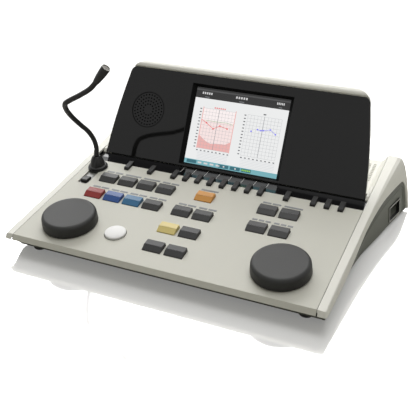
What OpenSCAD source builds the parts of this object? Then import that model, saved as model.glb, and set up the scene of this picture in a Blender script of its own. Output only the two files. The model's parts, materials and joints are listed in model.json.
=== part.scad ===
// Desktop audiometer: a sloped key panel between two light cheeks, a tilting display
// lid and a plug-in gooseneck microphone. Millimetres, +X right, +Y back, +Z up.
// The origin lies on the table, under the middle of the console.

/* [Console] */
// Depth from the front crease to the top rear edge
depth = 284; // [278:1:292]
// Height of the front crease above the table
front_h = 25.5; // [24:0.5:27]
// Slope of the key panel, in degrees
slope = 7.65; // [7:0.05:8.4]
// Width of each light cheek beside the faceplate at the front
cheek_strip = 8.9; // [8:0.1:10]
// How far each side flares outward at the rear
flare_out = 23.2; // [20:0.2:26]
// How far each cheek's top edge spreads outward towards the rear
cheek_spread = 3.2; // [2:0.1:4]
// Distance behind the crease where the sides begin to flare
flare_start = 140; // [130:1:150]
// Wall thickness of the mouldings
wall = 2.6; // [2.2:0.1:3]
// Underside of the lower case above the table
base_z = 3; // [2.6:0.1:3.6]

/* [Lower case] */
// Height of the arch edge at the front
arch_low = 19.5; // [18.5:0.5:20.5]
// Height of the arch edge at the rear
arch_high = 41.5; // [40:0.5:43]
// Distance from the top rear edge to the arch's rear edge
arch_back = 10; // [8:0.5:13]
// Radius of the arch's upper rear corner
arch_r = 12; // [9:0.5:15]
// Inward slant of the lower case side near the front
undercut = 6; // [4:0.5:7]
// Length of each side lead port
port_l = 28.5; // [26:0.5:30]
// Height of each side lead port
port_h = 15.7; // [14:0.1:17]
// Distance from the top rear edge to the lead port's front edge
port_back = 59; // [56:0.5:62]
// Height of the lead port's lower edge
port_z = 7.7; // [7:0.1:9]
// Radius of each rubber foot
foot_r = 7.5; // [6:0.5:9]
// Distance from a foot's axis to the faceplate's side seam
foot_in = 16.4; // [14:0.2:24]
// Distance behind the crease where the lower case reaches its floor
nose = 16.5; // [14:0.5:18]

/* [Large keys] */
// Width of a large key
key_w = 21; // [20:0.1:21.6]
// Depth of a large key
key_d = 15; // [14:0.1:16]
// Height of a large key above the faceplate
key_h = 3.8; // [3.2:0.1:4.4]
// Depth of the sloping front of a large key
key_front = 6.4; // [5:0.1:7.5]
// Distance between neighbouring large keys
key_pitch = 25.15; // [24.6:0.05:25.6]
// Distance between rows of large keys
row_pitch = 33.2; // [32:0.1:34]
// Distance up the panel of the lowest row
row_v = 23.2; // [22:0.1:24]
// Margin of the faceplate left of the left block
left_margin = 34.2; // [33:0.1:36]
// Gap between the left and the middle block
middle_gap = 16.15; // [15:0.05:20]
// Gap between the middle and the right block
right_gap = 42.35; // [40:0.05:46]
// Margin of the faceplate right of the right block
right_margin = 61.35; // [60:0.05:64]
// Travel of every key
key_travel = 1.5; // [1:0.1:1.6]
// Gap between a key and its window
key_gap = 0.3; // [0.25:0.05:0.4]

/* [Function keys] */
// Width of a function key
fkey_w = 5.9; // [5.5:0.1:6.4]
// Length of a function key
fkey_l = 16; // [15:0.5:17]
// Height of a function key above the faceplate
fkey_h = 3.3; // [3:0.1:3.8]
// Distance between neighbouring function keys
fkey_pitch = 15.65; // [15.3:0.05:15.9]
// How far the middle of the function keys lies right of the centre plane
fkey_mid = 15.475; // [14:0.025:17]
// Distance up the panel of the function keys' front edge
fkey_v = 155; // [154.5:0.1:155.6]

/* [Indicator bars] */
// Height of an indicator bar as seen on the panel
bar_v = 2.5; // [2:0.1:3]
// Distance from a key's front edge to its indicator bars
bar_off = 21.2; // [20.6:0.1:22]
// Gap between the bars of one key
bar_gap = 1.8; // [1.4:0.1:2.4]

/* [Dials and tone button] */
// Distance from each dial's axis to the faceplate's side seam
dial_in = 48.9; // [47:0.1:52]
// Distance up the panel of the dials' axes
dial_v = 39.4; // [38.5:0.1:40.5]
// Radius of a dial at its foot
dial_r = 30.7; // [29:0.1:32]
// Height of a dial
dial_h = 13.8; // [13:0.1:15]
// Radius of an encoder shaft
shaft_r = 3; // [2.8:0.1:3.2]
// Distance from the left dial's axis to the tone button's
tone_step = 57.6; // [56:0.1:60]
// Distance up the panel of the tone button
tone_v = 38.6; // [37:0.1:40]
// Radius of the tone button
tone_r = 11.8; // [11:0.1:12.4]
// Height of the tone button's crown
tone_h = 3; // [2.4:0.1:3.6]

/* [Display lid] */
// Distance behind the crease of the lid's lower front edge
lid_y = 189.6; // [189:0.1:190.4]
// Height of the lid's lower front edge
lid_z = 47.5; // [47:0.1:48]
// Tilt of the open lid from the horizontal, in degrees
lid_tilt = 62.65; // [60:0.05:65]
// Length of the glossy face of the lid
face_l = 112.5; // [110:0.5:115]
// Gap between the lid's lower edge and each side seam of the faceplate
lid_gap = 4.7; // [4.2:0.1:6]
// How much each side draws in towards the top
lid_draw = 16; // [13:0.5:18]
// Thickness of the lid
lid_t = 12.5; // [12:0.1:12.8]
// Thickness of the glossy front bezel
bezel_t = 3; // [2.6:0.1:3.4]
// Width of the visible screen
screen_w = 120.2; // [116:0.2:122]
// Distance from the visible screen's top to the lid's upper edge
screen_top = 14.3; // [13.9:0.1:16]
// Distance from the lid's lower edge to the visible screen
screen_s = 4.7; // [4.4:0.1:5]
// Depth of the sloped frame around the screen
screen_deep = 5; // [4.4:0.1:5.4]
// Left-right place of the loudspeaker grille
speaker_u = -119; // [-121:0.5:-117]
// Distance up the lid of the loudspeaker grille
speaker_s = 60.8; // [58:0.2:63]
// Radius of the loudspeaker grille
speaker_r = 21.7; // [20.5:0.1:22.5]
// Distance between the rings of holes in the grille
grille_pitch = 3.9; // [3.7:0.1:4.2]
// Size of one square hole of the grille
grille_hole = 1.7; // [1.4:0.1:2]
// Radius of the hinge pins
pin_r = 2.4; // [2.2:0.1:2.4]

/* [Microphone] */
// Distance from the microphone socket's axis to the faceplate's side seam
mic_in = 17.5; // [16.5:0.1:18.5]
// Distance from the microphone socket's axis to the glossy strip
mic_back = 15.5; // [14.6:0.1:16.4]
// Radius of the socket's collar
collar_r = 12.2; // [11.6:0.1:12.8]
// Radius at the foot of the bell-shaped plug
plug_r = 11.2; // [10.4:0.1:11.6]
// Radius of the plug's shoulder
plug_shoulder = 8; // [7.4:0.1:8.8]
// Height of the plug
plug_h = 14.5; // [13:0.1:16]
// Number of flutes round the plug
flutes = 6; // [4:1:8]
// Radius of the plug's contact pin
jack_r = 3.15; // [3.1:0.01:3.2]
// Radius of the gooseneck
neck_r = 2.5; // [2.2:0.1:2.8]
// Radius of the microphone capsule at its open end
capsule_r = 4.7; // [4:0.1:5.2]
// Length of the microphone capsule
capsule_l = 21; // [18:0.5:24]
// Width of the recess with the release latch
tongue_w = 13.5; // [12.5:0.1:14.5]
// Length of the recess, from its round front end to the socket's axis
tongue_l = 37.3; // [36:0.1:38.6]

/* [Rear connectors] */
// Distance from the top rear edge to the connector panel
bay_depth = 62; // [60:0.5:64]
// Distance from the mains inlet's axis to the faceplate's side seam
inlet_in = 29.4; // [28:0.2:32]
// Distance from the mains inlet to the mains switch
switch_step = 34; // [33:0.5:36]
// Distance from the mains switch to the data socket
usb_step = 26; // [24:0.5:28]
// Distance from the data socket to the first jack socket
jack_step = 20; // [19:0.5:22]
// Distance between neighbouring jack sockets
jack_pitch = 21; // [20:0.5:22]
// Bore radius of a jack socket
socket_r = 3.25; // [3.2:0.01:3.3]
// Height of the jack sockets above the table
jack_z = 25; // [23:0.5:27]

/* [Hidden] */
$fn = 48;

lip_h = front_h - arch_low; // height of the front lip
lip_lean = 0.43;            // outward lean of the front lip per unit of height
deck_drop = 9;              // depth of the rear deck below the cheek tops
deck_lip = 7;               // height of the deck's rear lip
rear_play = 0.4;            // the deck ends this far before the cheeks
// The crease lies so that the console's front lip and rear lip reach equally far
front_y = (lip_lean * lip_h + rear_play * cos(slope) - (deck_drop + deck_lip) * sin(slope) - depth) / 2;
arch_rear = depth - arch_back;
port_y = depth - port_back;
panel_y = depth - bay_depth;
// Widths, from the key blocks outward
four_keys = 3 * key_pitch + key_w;
two_keys = key_pitch + key_w;
plate_w = left_margin + four_keys + middle_gap + two_keys + right_gap + two_keys + right_margin;
cheek_w = plate_w + 2 * cheek_strip;
rear_w = cheek_w + 2 * flare_out;
lid_w = plate_w - 2 * lid_gap;
screen_h = face_l - screen_s - screen_top;
left_u = left_margin - plate_w / 2;
middle_u = left_u + four_keys + middle_gap;
right_u = middle_u + two_keys + right_gap;
fkey_u = fkey_mid - (17 * fkey_pitch + fkey_w) / 2;
dial_u = plate_w / 2 - dial_in;
tone_u = tone_step - dial_u;
foot_x = plate_w / 2 - foot_in;
mic_u = mic_in - plate_w / 2;
seam = 0.2;                 // hairline between two mouldings
touch = 0.05;               // play between a seated piece and its seat
plate_t = 3;                // thickness of the faceplate
lip_flare = 1.7;            // outward lean of the cheek's lower edge at the front
strip_v = fkey_v + 10.3;    // front edge of the glossy strip
mic_v = strip_v - mic_back; // microphone socket, up the panel
tongue_v = mic_v - tongue_l;
corner_r = 6.5;             // plan radius of the front corners
board_t = 1.6;              // thickness of a circuit board
board_drop = 8;             // top of the key board below the faceplate's face
hinge_y = lid_y + 9.4;      // hinge axis behind the crease
hinge_z = lid_z + 0.5;      // hinge axis above the table
hinge_s = 9.4 * cos(lid_tilt) + 0.5 * sin(lid_tilt);
hinge_back = 9.4 * sin(lid_tilt) - 0.5 * cos(lid_tilt);
hinge_gap = 0.08;           // running play of the hinge pins
pin_in = lid_w / 2 - 14.7;  // inner end of a hinge pin
rock_r = 1.2;               // trunnion of the mains switch
floor_z = base_z + 0.3 + wall; // inside floor of the lower case
spare = 60;                 // overshoot of a cutting prism
screw_x = plate_w / 2 - 13.4; // case screws
screw_front = 46;
screw_back = 110;
main_w = 230;               // main board
main_l = 136;
main_y = panel_y - 30 - main_l;

// --- curves of the flared sides -------------------------------------------------

function clamp(x, lo, hi) = min(max(x, lo), hi);
function smooth(t) = let (c = clamp(t, 0, 1)) c * c * (3 - 2 * c);
function top_z(y) = front_h + y * tan(slope);
function below(y, z) = top_z(y) - z;
function cheek_x(y) = cheek_w / 2 + cheek_spread * pow(clamp(y / depth, 0, 1), 3);
function flare(y) = y <= flare_start ? 0
    : ((rear_w - cheek_w) / 2 - cheek_spread)
        * pow((y - flare_start) / (depth - flare_start), 1.35);
function lip_x(y, z) = lip_flare * clamp(below(y, z) / lip_h, 0, 1) * clamp(1 - y / 150, 0, 1);
function side_x(y, z) = cheek_x(y) + lip_x(y, z)
    + flare(y) * pow(clamp(below(y, z) / below(y, base_z), 0, 1), 0.45);
function arch_z(y) = arch_low + (arch_high - arch_low) * smooth((y - 45) / 175);
function panel_x(y, z) = side_x(y, z) - 0.6
    - undercut * (1 - smooth((y - 90) / 110)) * clamp((arch_z(y) - z) / (arch_z(y) - base_z), 0, 1);
// Corner rounding in plan, and the lean of the front lip and the rear edge
function plan_cut(y) = y < corner_r
    ? corner_r - sqrt(corner_r * corner_r - (corner_r - y) * (corner_r - y)) : 0;
function lean(y) = y < 8 ? lip_lean * (1 - y / 8)
    : tan(slope) * clamp((y - 200) / (depth - 200), 0, 1);

stations = concat([0, 0.9, 3, corner_r], [for (i = [1 : 20]) corner_r + i * (depth - corner_r) / 20]);

// A wall between an outer and an inner grid of points, closed at all four edges
module shell(outer, inner) {
    rows = len(outer);
    cols = len(outer[0]);
    all = concat([for (r = outer) each r], [for (r = inner) each r]);
    function o(i, j) = i * cols + j;
    function n(i, j) = rows * cols + i * cols + j;
    function quad(a, b, c, d) = [[a, c, b], [a, d, c]];
    faces = [
        for (i = [0 : rows - 2], j = [0 : cols - 2])
            each quad(o(i, j), o(i, j + 1), o(i + 1, j + 1), o(i + 1, j)),
        for (i = [0 : rows - 2], j = [0 : cols - 2])
            each quad(n(i, j), n(i + 1, j), n(i + 1, j + 1), n(i, j + 1)),
        for (i = [0 : rows - 2]) each quad(o(i, 0), o(i + 1, 0), n(i + 1, 0), n(i, 0)),
        for (i = [0 : rows - 2])
            each quad(n(i, cols - 1), n(i + 1, cols - 1), o(i + 1, cols - 1), o(i, cols - 1)),
        for (j = [0 : cols - 2]) each quad(o(0, j), n(0, j), n(0, j + 1), o(0, j + 1)),
        for (j = [0 : cols - 2])
            each quad(o(rows - 1, j), o(rows - 1, j + 1), n(rows - 1, j + 1), n(rows - 1, j))];
    polyhedron(points = all, faces = faces, convexity = 6);
}

// The wall of a right-hand side, full height, before the arch is cut out of it
module cheek_shell() {
    steps = 8;
    function place(x, y, z) = [x, front_y + y - below(y, z) * lean(y), z];
    function level(y, k) = top_z(y) - 1.2 - (below(y, base_z) - 1.2) * pow(k / steps, 1.3);
    function chain(y, inset) = let (in = plate_w / 2 + seam, x = cheek_x(y) - plan_cut(y) - inset,
            z = top_z(y) - inset) concat(
        [place(in, y, z), place(max(x - 1.2, in + 0.4), y, z), place(max(x - 0.35, in + 0.7), y, z - 0.35)],
        [for (k = [0 : steps]) place(max(side_x(y, level(y, k)) - plan_cut(y) - inset, in + 0.9), y,
            level(y, k) - inset * (1 - k / steps))]);
    // The last stretch is solid: the inner wall folds back to the seam and closes the rear end
    function closed(y) = let (outer = chain(y, 0)) [for (k = [0 : len(outer) - 1])
        [plate_w / 2 + seam + (k > 1 ? 0.9 : k * 0.4), outer[k][1], outer[k][2] - wall * (1 - k / len(outer))]];
    near = depth - wall;
    ys = concat([for (y = stations) if (y < near - 3) y], [near - 0.4, near, depth]);
    shell([for (y = ys) chain(y, 0)], [for (y = ys) y < near ? chain(y, wall) : closed(y)]);
}

// Prism through both sides, bounded above and behind by the arch
module arch_prism(play) {
    corner = arch_r - play;
    rear = arch_rear - play;
    top = arch_z(arch_rear) - play;
    edge = concat(
        [[-spare, -spare]],
        [for (y = [-spare, 0, for (i = [0 : 20]) 45 + i * (rear - corner - 45) / 20]) [y, arch_z(y) - play]],
        [for (a = [75 : -15 : 0]) [rear - corner + corner * cos(a), top - corner + corner * sin(a)]],
        [[rear, -spare]]);
    translate([0, front_y, 0]) rotate([90, 0, 90]) linear_extrude(rear_w, center = true) polygon(edge);
}

// A tube swept along points, with flat ends
module tube(route, radius, sides) {
    last = len(route) - 1;
    function unit(v) = v / norm(v);
    function ahead(i) = unit(route[min(i + 1, last)] - route[max(i - 1, 0)]);
    function ring(i) = let (t = ahead(i), a = unit(cross(t, [0.31, 0.95, 0.05])), b = cross(t, a))
        [for (k = [0 : sides - 1]) route[i] + radius * (cos(k * 360 / sides) * a + sin(k * 360 / sides) * b)];
    points = [for (i = [0 : last]) each ring(i)];
    faces = concat(
        [for (i = [0 : last - 1], k = [0 : sides - 1]) let (m = (k + 1) % sides)
            each [[i * sides + k, (i + 1) * sides + m, i * sides + m],
                [i * sides + k, (i + 1) * sides + k, (i + 1) * sides + m]]],
        [for (k = [1 : sides - 2]) [0, k, k + 1]],
        [for (k = [1 : sides - 2]) [last * sides, last * sides + k + 1, last * sides + k]]);
    polyhedron(points = points, faces = faces, convexity = 8);
}

// --- places ---------------------------------------------------------------------

// Local axes: x along the panel, y up its slope, z out of it
module at_panel(u = 0, v = 0) {
    translate([0, front_y, front_h]) rotate([slope, 0, 0]) translate([u, v, 0]) children();
}

// Local axes: x along the lid, y up its face, z out of it
module at_lid() {
    translate([0, front_y + lid_y, lid_z]) rotate([lid_tilt, 0, 0]) children();
}

module block(size, place) {
    translate(place) cube(size);
}

module rounded(w, h, r) {
    translate([r, r]) hull_free_round(w - 2 * r, h - 2 * r, r);
}

// A rectangle with round corners, built from two bars and four discs
module hull_free_round(w, h, r) {
    translate([-r, 0]) square([w + 2 * r, h]);
    translate([0, -r]) square([w, h + 2 * r]);
    for (x = [0, w], y = [0, h]) translate([x, y]) circle(r, $fn = 24);
}

// Large keys: left edge, distance up the panel, colour and number of indicator bars
function row(k) = row_v + k * row_pitch;
GREY = "#5a5a58";
large_keys = [
    for (i = [0 : 3]) [left_u + i * key_pitch, row(3), GREY, [2, 1, 1, 2][i]],
    for (i = [0 : 3]) [left_u + i * key_pitch, row(2), ["#8c3a36", "#35548c", "#4a7896", GREY][i], 2],
    [middle_u + key_pitch / 2, row(3) + 1, "#c08038", 1],
    for (i = [0 : 1]) [middle_u + i * key_pitch, row(2), GREY, 2],
    for (i = [0 : 1]) [middle_u + i * key_pitch, row(1), ["#cbb878", GREY][i], 0],
    for (i = [0 : 1]) [middle_u + i * key_pitch, row(0), GREY, 0],
    for (i = [0 : 1]) [right_u + i * key_pitch, row(3), GREY, [2, 1][i]],
    for (i = [0 : 1]) [right_u + i * key_pitch, row(2), GREY, 3]];
// Function keys: which places of the row are filled
fkey_slots = [0, 2, 4, 5, 6, 7, 8, 9, 10, 11, 13, 15, 16, 17];
function fkey_x(i) = fkey_u + fkey_slots[i] * fkey_pitch;

// --- housing --------------------------------------------------------------------

// Cutter or rim of the lead port, square to the slanting side wall
module lead_port(grow, from, to) {
    y0 = port_y - grow;
    y1 = port_y + port_l + grow;
    z0 = port_z - grow;
    high = port_h + 2 * grow;
    x0 = panel_x(y0, z0);
    yaw = atan2(panel_x(y1, z0) - x0, y1 - y0);
    tilt = atan2(x0 - panel_x(y0, z0 + high), high);
    translate([x0, front_y + y0, z0]) rotate([0, -tilt, -yaw])
        block([to - from, port_l + 2 * grow, high], [from, 0, 0]);
}

// Dark side panel: its columns start on the arch and reach down to the lower edge;
// two raised ridges run along the arch
ridge_rows = [0, 3.4, 3.8, 4.7, 5.1, 6.6, 7, 7.9, 8.3];
ridge_lift = [0, 0, 0.6, 0.6, 0, 0, 0.6, 0.6, 0];
module side_panel() {
    edge_r = arch_r - seam;
    bend_y = arch_rear - arch_r;
    top = arch_z(arch_rear) - seam;
    low = base_z;
    corner = [for (a = [75 : -18.75 : 0]) a];
    drop = [0.3, 0.6, 0.85];
    start = 5;
    knee = arch_rear - 43;
    // Point on the arch at a depth d below its edge, for each column; the first ones slant
    // back with the nose
    function along(d) = concat(
        [for (i = [0 : 18]) let (y = start + i * (bend_y - start) / 18)
            [y + d * max(0, 1 - i / 3) * (nose - start) / (arch_low - low), arch_z(y) - seam - d]],
        [for (a = corner) [bend_y + (edge_r - d) * cos(a), top - edge_r + (edge_r - d) * sin(a)]],
        [for (t = drop) [bend_y + edge_r - d, (top - edge_r) * (1 - t) + (low + 0.5) * t]],
        [[bend_y + edge_r - d, low]]);
    // Where each column meets the lower edge
    feet_y = concat([for (i = [0 : 18]) nose + i * (knee - nose) / 18],
        [for (i = [1 : len(corner)]) knee + i * 3], [for (i = [1 : 3]) knee + 15 + i * 4], [knee + 30]);
    reach = ridge_rows[len(ridge_rows) - 1];
    lower = along(reach);
    function point(i, y, z, out) = [panel_x(y, z) + out, front_y + y, z];
    function column(i, inset) = concat(
        [for (r = [0 : len(ridge_rows) - 1]) let (p = along(ridge_rows[r])[i])
            point(i, p[0], p[1], inset > 0 ? -inset : ridge_lift[r] * smooth((p[0] - 50) / 30))],
        [for (t = [0.33, 0.67, 1]) let (p = lower[i] * (1 - t) + [feet_y[i], low] * t)
            point(i, p[0], p[1], -inset)]);
    cols = len(lower);
    difference() {
        union() {
            shell([for (i = [0 : cols - 1]) column(i, 0)], [for (i = [0 : cols - 1]) column(i, wall)]);
            lead_port(1.5, -wall - 0.3, 0.9);
        }
        lead_port(0, -20, 20);
    }
}

module lower_case() {
    function tray_x(y) = panel_x(y, base_z) - 1.1;
    first = nose + 0.5;
    // Between the cheeks the floor runs back to the rear face
    floor_half = plate_w / 2 - seam - rear_play;
    floor_rear = depth - below(depth, base_z) * tan(slope) - rear_play;
    ys = [for (i = [0 : 9]) first + i * (arch_rear - 2.5 - first) / 9];
    outline = concat([for (y = ys) [tray_x(y), y]], [for (i = [9 : -1 : 0]) [-tray_x(ys[i]), ys[i]]]);
    nose_low = base_z + 0.3;
    nose_high = arch_low - seam - 0.6;
    high_x = panel_x(5, arch_low) - 1.4;
    low_x = panel_x(nose, base_z) - 1.4;
    color("#5f615a") {
        difference() {
            union() {
                translate([0, front_y, base_z + 0.3]) linear_extrude(wall) {
                    polygon(outline);
                    translate([-floor_half, arch_rear - 20]) square([2 * floor_half, floor_rear - arch_rear + 20]);
                }
                // Front wall, slanting back under the light lip
                intersection() {
                    translate([0, front_y, 0]) rotate([90, 0, 90]) linear_extrude(cheek_w, center = true)
                        polygon([[4, nose_high], [nose, nose_low], [nose + 4, nose_low],
                            [nose + 4, nose_low + wall], [nose + 1, nose_low + wall], [7.2, nose_high]]);
                    translate([0, front_y + nose + 5, 0]) rotate([90, 0, 0]) linear_extrude(nose + 5)
                        polygon([[-high_x, nose_high], [-low_x, nose_low], [low_x, nose_low], [high_x, nose_high]]);
                }
                // Ledge that closes the slot behind the lip
                translate([0, front_y, 0]) rotate([90, 0, 90]) linear_extrude(plate_w - 6, center = true)
                    polygon([[0.2, nose_high], [1.4, nose_high - 1.3], [6, nose_high - 1.3], [6, nose_high]]);
                // Posts under the main board
                for (x = [20 - main_w / 2, main_w / 2 - 20], y = [main_y + 14, main_y + main_l - 12])
                    translate([x, front_y + y, base_z + 1]) cylinder(r = 4, h = wall + 4);
                side_panel();
                mirror([1, 0, 0]) side_panel();
            }
            for (x = [-1, 1], y = [screw_front, depth - screw_back])
                translate([x * screw_x, front_y + y, base_z - 1]) cylinder(r = 4.2, h = 2.8);
        }
    }
}

module cheek() {
    difference() {
        cheek_shell();
        arch_prism(0);
        // The glossy strip and the lid end inside the cheeks
        translate([0, front_y + hinge_y, hinge_z]) rotate([0, 90, 0]) cylinder(r = pin_r + 0.2, h = plate_w / 2 + 3);
    }
}

module cheek_left() {
    color("#e1e0da") mirror([1, 0, 0]) cheek();
}

module cheek_right() {
    color("#e1e0da") cheek();
}

// Light cover behind the lid: a sunk deck with sloped ends, and the hinge trough
module rear_deck() {
    half = plate_w / 2 - seam;
    deck_v = (hinge_y + 9) / cos(slope);
    rear_v = depth / cos(slope) - rear_play;
    flat = half - 7;
    trough = [[lid_y - 3, hinge_z - 4.8], [lid_y - 1, hinge_z - 4.8], [lid_y - 1, hinge_z - 9.5],
        [hinge_y + 8, hinge_z - 9.5], [hinge_y + 8, top_z(hinge_y + 8) - deck_drop - 1],
        [hinge_y + 10.5, top_z(hinge_y + 10.5) - deck_drop - 1],
        [hinge_y + 10.5, hinge_z - 12], [lid_y - 3, hinge_z - 12]];
    color("#dedcd5") {
        at_panel(0, deck_v) rotate([90, 0, 0]) mirror([0, 0, 1]) linear_extrude(rear_v - deck_v)
            polygon([[-half, 0], [-flat, -deck_drop], [flat, -deck_drop], [half, 0],
                [half, -wall * 1.6], [flat + 1.2, -deck_drop - wall], [-flat - 1.2, -deck_drop - wall],
                [-half, -wall * 1.6]]);
        // Rear lip
        at_panel(0, rear_v - wall) block([2 * flat, wall, deck_lip], [-flat, 0, -deck_drop - deck_lip]);
        translate([0, front_y, 0]) rotate([90, 0, 90]) linear_extrude(2 * half, center = true) polygon(trough);
        // Lugs that hold the hinge pins
        difference() {
            for (s = [-1, 1])
                translate([s * (half - 1.25), front_y + hinge_y, hinge_z]) rotate([0, 90, 0]) {
                    cylinder(r = 4.4, h = 2.5, center = true);
                    block([11, 8.8, 2.5], [0, -4.4, -1.25]);
                }
            translate([0, front_y + hinge_y, hinge_z]) rotate([0, 90, 0])
                cylinder(r = pin_r, h = 2 * half + 2, center = true);
        }
    }
}

// --- key panel ------------------------------------------------------------------

module bar_cells(grow) {
    for (k = large_keys) if (k[3] > 0) {
        w = (key_w - (k[3] - 1) * bar_gap) / k[3];
        for (i = [0 : k[3] - 1])
            translate([k[0] + i * (w + bar_gap) - grow, k[1] + bar_off - grow])
                square([w + 2 * grow, bar_v + 2 * grow]);
    }
}

module tongue(grow) {
    w = tongue_w - 2 * grow;
    translate([mic_u - w / 2, tongue_v + grow]) rounded(w, mic_v - tongue_v, 3);
}

module faceplate() {
    half = plate_w / 2;
    // Lower edge of the lip, in the panel's own axes
    lip_low = lip_h * [-lip_lean * cos(slope) - sin(slope), lip_lean * sin(slope) - cos(slope)];
    color("#cbcac3") difference() {
        union() {
            at_panel() translate([0, 0, -plate_t]) linear_extrude(plate_t) difference() {
                translate([-half, 0]) square([plate_w, strip_v]);
                for (k = large_keys) translate([k[0] - key_gap, k[1] - key_gap])
                    square([key_w + 2 * key_gap, key_d + 2 * key_gap]);
                for (i = [0 : len(fkey_slots) - 1]) translate([fkey_x(i) - key_gap, fkey_v - key_gap])
                    square([fkey_w + 2 * key_gap, fkey_l]);
                bar_cells(touch);
                for (s = [-1, 1]) translate([s * dial_u, dial_v]) circle(r = 4.7);
                translate([tone_u, tone_v]) circle(r = tone_r + key_gap);
                translate([mic_u, mic_v]) circle(r = 6.1);
            }
            // Front lip, leaning outward to its lower edge
            at_panel() rotate([90, 0, 90]) linear_extrude(plate_w, center = true)
                polygon([[0, 0], lip_low, lip_low + [1.9, -0.8], [3.6, -plate_t - 1.6], [3.6, -plate_t / 2]]);
            // Posts that carry the key board
            at_panel() for (u = [11.4 - plate_w / 2, -48, 37, plate_w / 2 - 11.4], v = [12, 118])
                translate([u, v, -board_drop]) cylinder(r = 3, h = board_drop - plate_t + 0.5);
        }
        // Recess of the release latch
        at_panel() translate([0, 0, -1.8]) linear_extrude(5) tongue(0);
    }
}

// Glossy strip: falls in a shallow curve from the faceplate to the foot of the lid
module function_strip() {
    y0 = strip_v * cos(slope) + 0.3;
    y1 = lid_y - 0.9;
    z0 = top_z(y0);
    z1 = lid_z - 1.2;
    surface = [for (i = [0 : 10]) let (t = i / 10)
        [y0 + (y1 - y0) * t, z0 + (z1 - z0) * (1 - (1 - t) * (1 - t)) - 0.6 * sin(180 * t)]];
    profile = concat([[y0, z0 - 3]], surface, [[y1, z1 - 2], [y1 - 3, z1 - 3], [y0 + 4, z0 - 6.5]]);
    color("#1b1b1e") difference() {
        translate([0, front_y, 0]) rotate([90, 0, 90])
            linear_extrude(plate_w - 2 * seam, center = true) polygon(profile);
        at_panel() for (i = [0 : len(fkey_slots) - 1])
            block([fkey_w + 2 * key_gap, fkey_l + 2 * key_gap, 20], [fkey_x(i) - key_gap, fkey_v - key_gap, -10]);
    }
}

module indicator_bars() {
    color("#7d8084") at_panel() translate([0, 0, -2.4]) linear_extrude(2.5) bar_cells(0);
}

// Key cap: sloped front, flat top, a skirt and a retaining flange under the plate
module large_key(i) {
    k = large_keys[i];
    foot = -board_drop + 1.1 + key_travel + 0.4;
    color(k[2]) at_panel(k[0], k[1]) {
        intersection() {
            rotate([90, 0, 90]) linear_extrude(key_w)
                polygon([[0, foot], [0, 0.7], [0.5, 1.2], [key_front - 0.5, key_h - 0.3], [key_front + 0.4, key_h],
                    [key_d - 0.9, key_h], [key_d - 0.2, key_h - 0.3], [key_d, key_h - 1], [key_d, foot]]);
            translate([0, 0, foot]) linear_extrude(20) rounded(key_w, key_d, 1);
        }
        block([key_w + 2, key_d + 2, 0.7], [-1, -1, -plate_t - 0.9]);
    }
}

module function_key(i) {
    foot = -board_drop + 1.1 + key_travel + 0.4;
    color("#4b4b48") at_panel(fkey_x(i), fkey_v) {
        intersection() {
            rotate([90, 0, 90]) linear_extrude(fkey_w)
                polygon([[0, foot], [0, fkey_h - 1.4], [0.5, fkey_h - 0.5], [1.6, fkey_h],
                    [fkey_l - 1, fkey_h], [fkey_l, fkey_h - 1], [fkey_l, -2.5], [5, foot]]);
            translate([0, 0, foot]) linear_extrude(20) rounded(fkey_w, fkey_l, 1);
        }
    }
}

// Board under the keys, with a dome switch below each key and both encoders
module key_board() {
    color("#2f6b45") at_panel() {
        difference() {
            block([plate_w - 14, fkey_v + 3 - 8, board_t], [7 - plate_w / 2, 8, -board_drop - board_t]);
            translate([mic_u, mic_v, -board_drop - 5]) cylinder(r = 7.5, h = 10);
        }
        for (k = large_keys) translate([k[0] + key_w / 2, k[1] + key_d / 2, -board_drop - 0.2])
            cylinder(r = 3, h = 1.3);
        for (i = [0 : len(fkey_slots) - 1])
            block([3.4, 2, 1.3], [fkey_x(i) + fkey_w / 2 - 1.7, fkey_v + 0.8, -board_drop - 0.2]);
        translate([tone_u, tone_v, -board_drop - 0.2]) cylinder(r = 3, h = 1.3);
        for (s = [-1, 1]) translate([s * dial_u, dial_v, 0]) {
            block([14, 14, 4.7], [-7, -7, -board_drop - 0.2]);
            translate([0, 0, -board_drop]) cylinder(r = 4.5, h = board_drop + 0.3);
            translate([0, 0, -board_drop]) cylinder(r = shaft_r, h = board_drop + dial_h - 3);
        }
    }
}

module dial(s) {
    color("#434341") at_panel(s * dial_u, dial_v) translate([0, 0, 0.5]) difference() {
        rotate_extrude($fn = 96) polygon(concat(
            [[0, 0], [dial_r - 1, 0], [dial_r, 1]],
            [for (a = [0 : 15 : 90]) [dial_r - 4.1 + 3 * cos(a), dial_h - 3.5 + 3 * sin(a)]],
            [[0, dial_h - 0.5]]));
        // Hollow underside around the hub
        translate([0, 0, -1]) difference() {
            cylinder(r = dial_r - 3.5, h = dial_h - 4);
            cylinder(r = shaft_r + 3, h = dial_h);
        }
        translate([0, 0, -1]) cylinder(r = shaft_r + 0.05, h = dial_h - 1.5);
    }
}

module dial_left() {
    dial(-1);
}

module dial_right() {
    dial(1);
}

module tone_button() {
    crown = 0.9;
    sphere_r = (tone_r * tone_r + crown * crown) / (2 * crown);
    foot = -board_drop + 1.1 + key_travel + 0.4;
    color("#ebebe9") at_panel(tone_u, tone_v) {
        intersection() {
            translate([0, 0, foot]) cylinder(r = tone_r, h = 20);
            translate([0, 0, tone_h - sphere_r]) sphere(r = sphere_r, $fn = 96);
        }
        translate([0, 0, -plate_t - 0.9]) cylinder(r = tone_r + 1.4, h = 0.7);
    }
}

// --- microphone -----------------------------------------------------------------

module mic_socket() {
    color("#232322") at_panel(mic_u, mic_v) difference() {
        union() {
            cylinder(r = collar_r, h = 1.5);
            translate([0, 0, -15]) cylinder(r = 6, h = 16);
        }
        translate([0, 0, -13]) cylinder(r = jack_r + 0.06, h = 20);
    }
}

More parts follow.
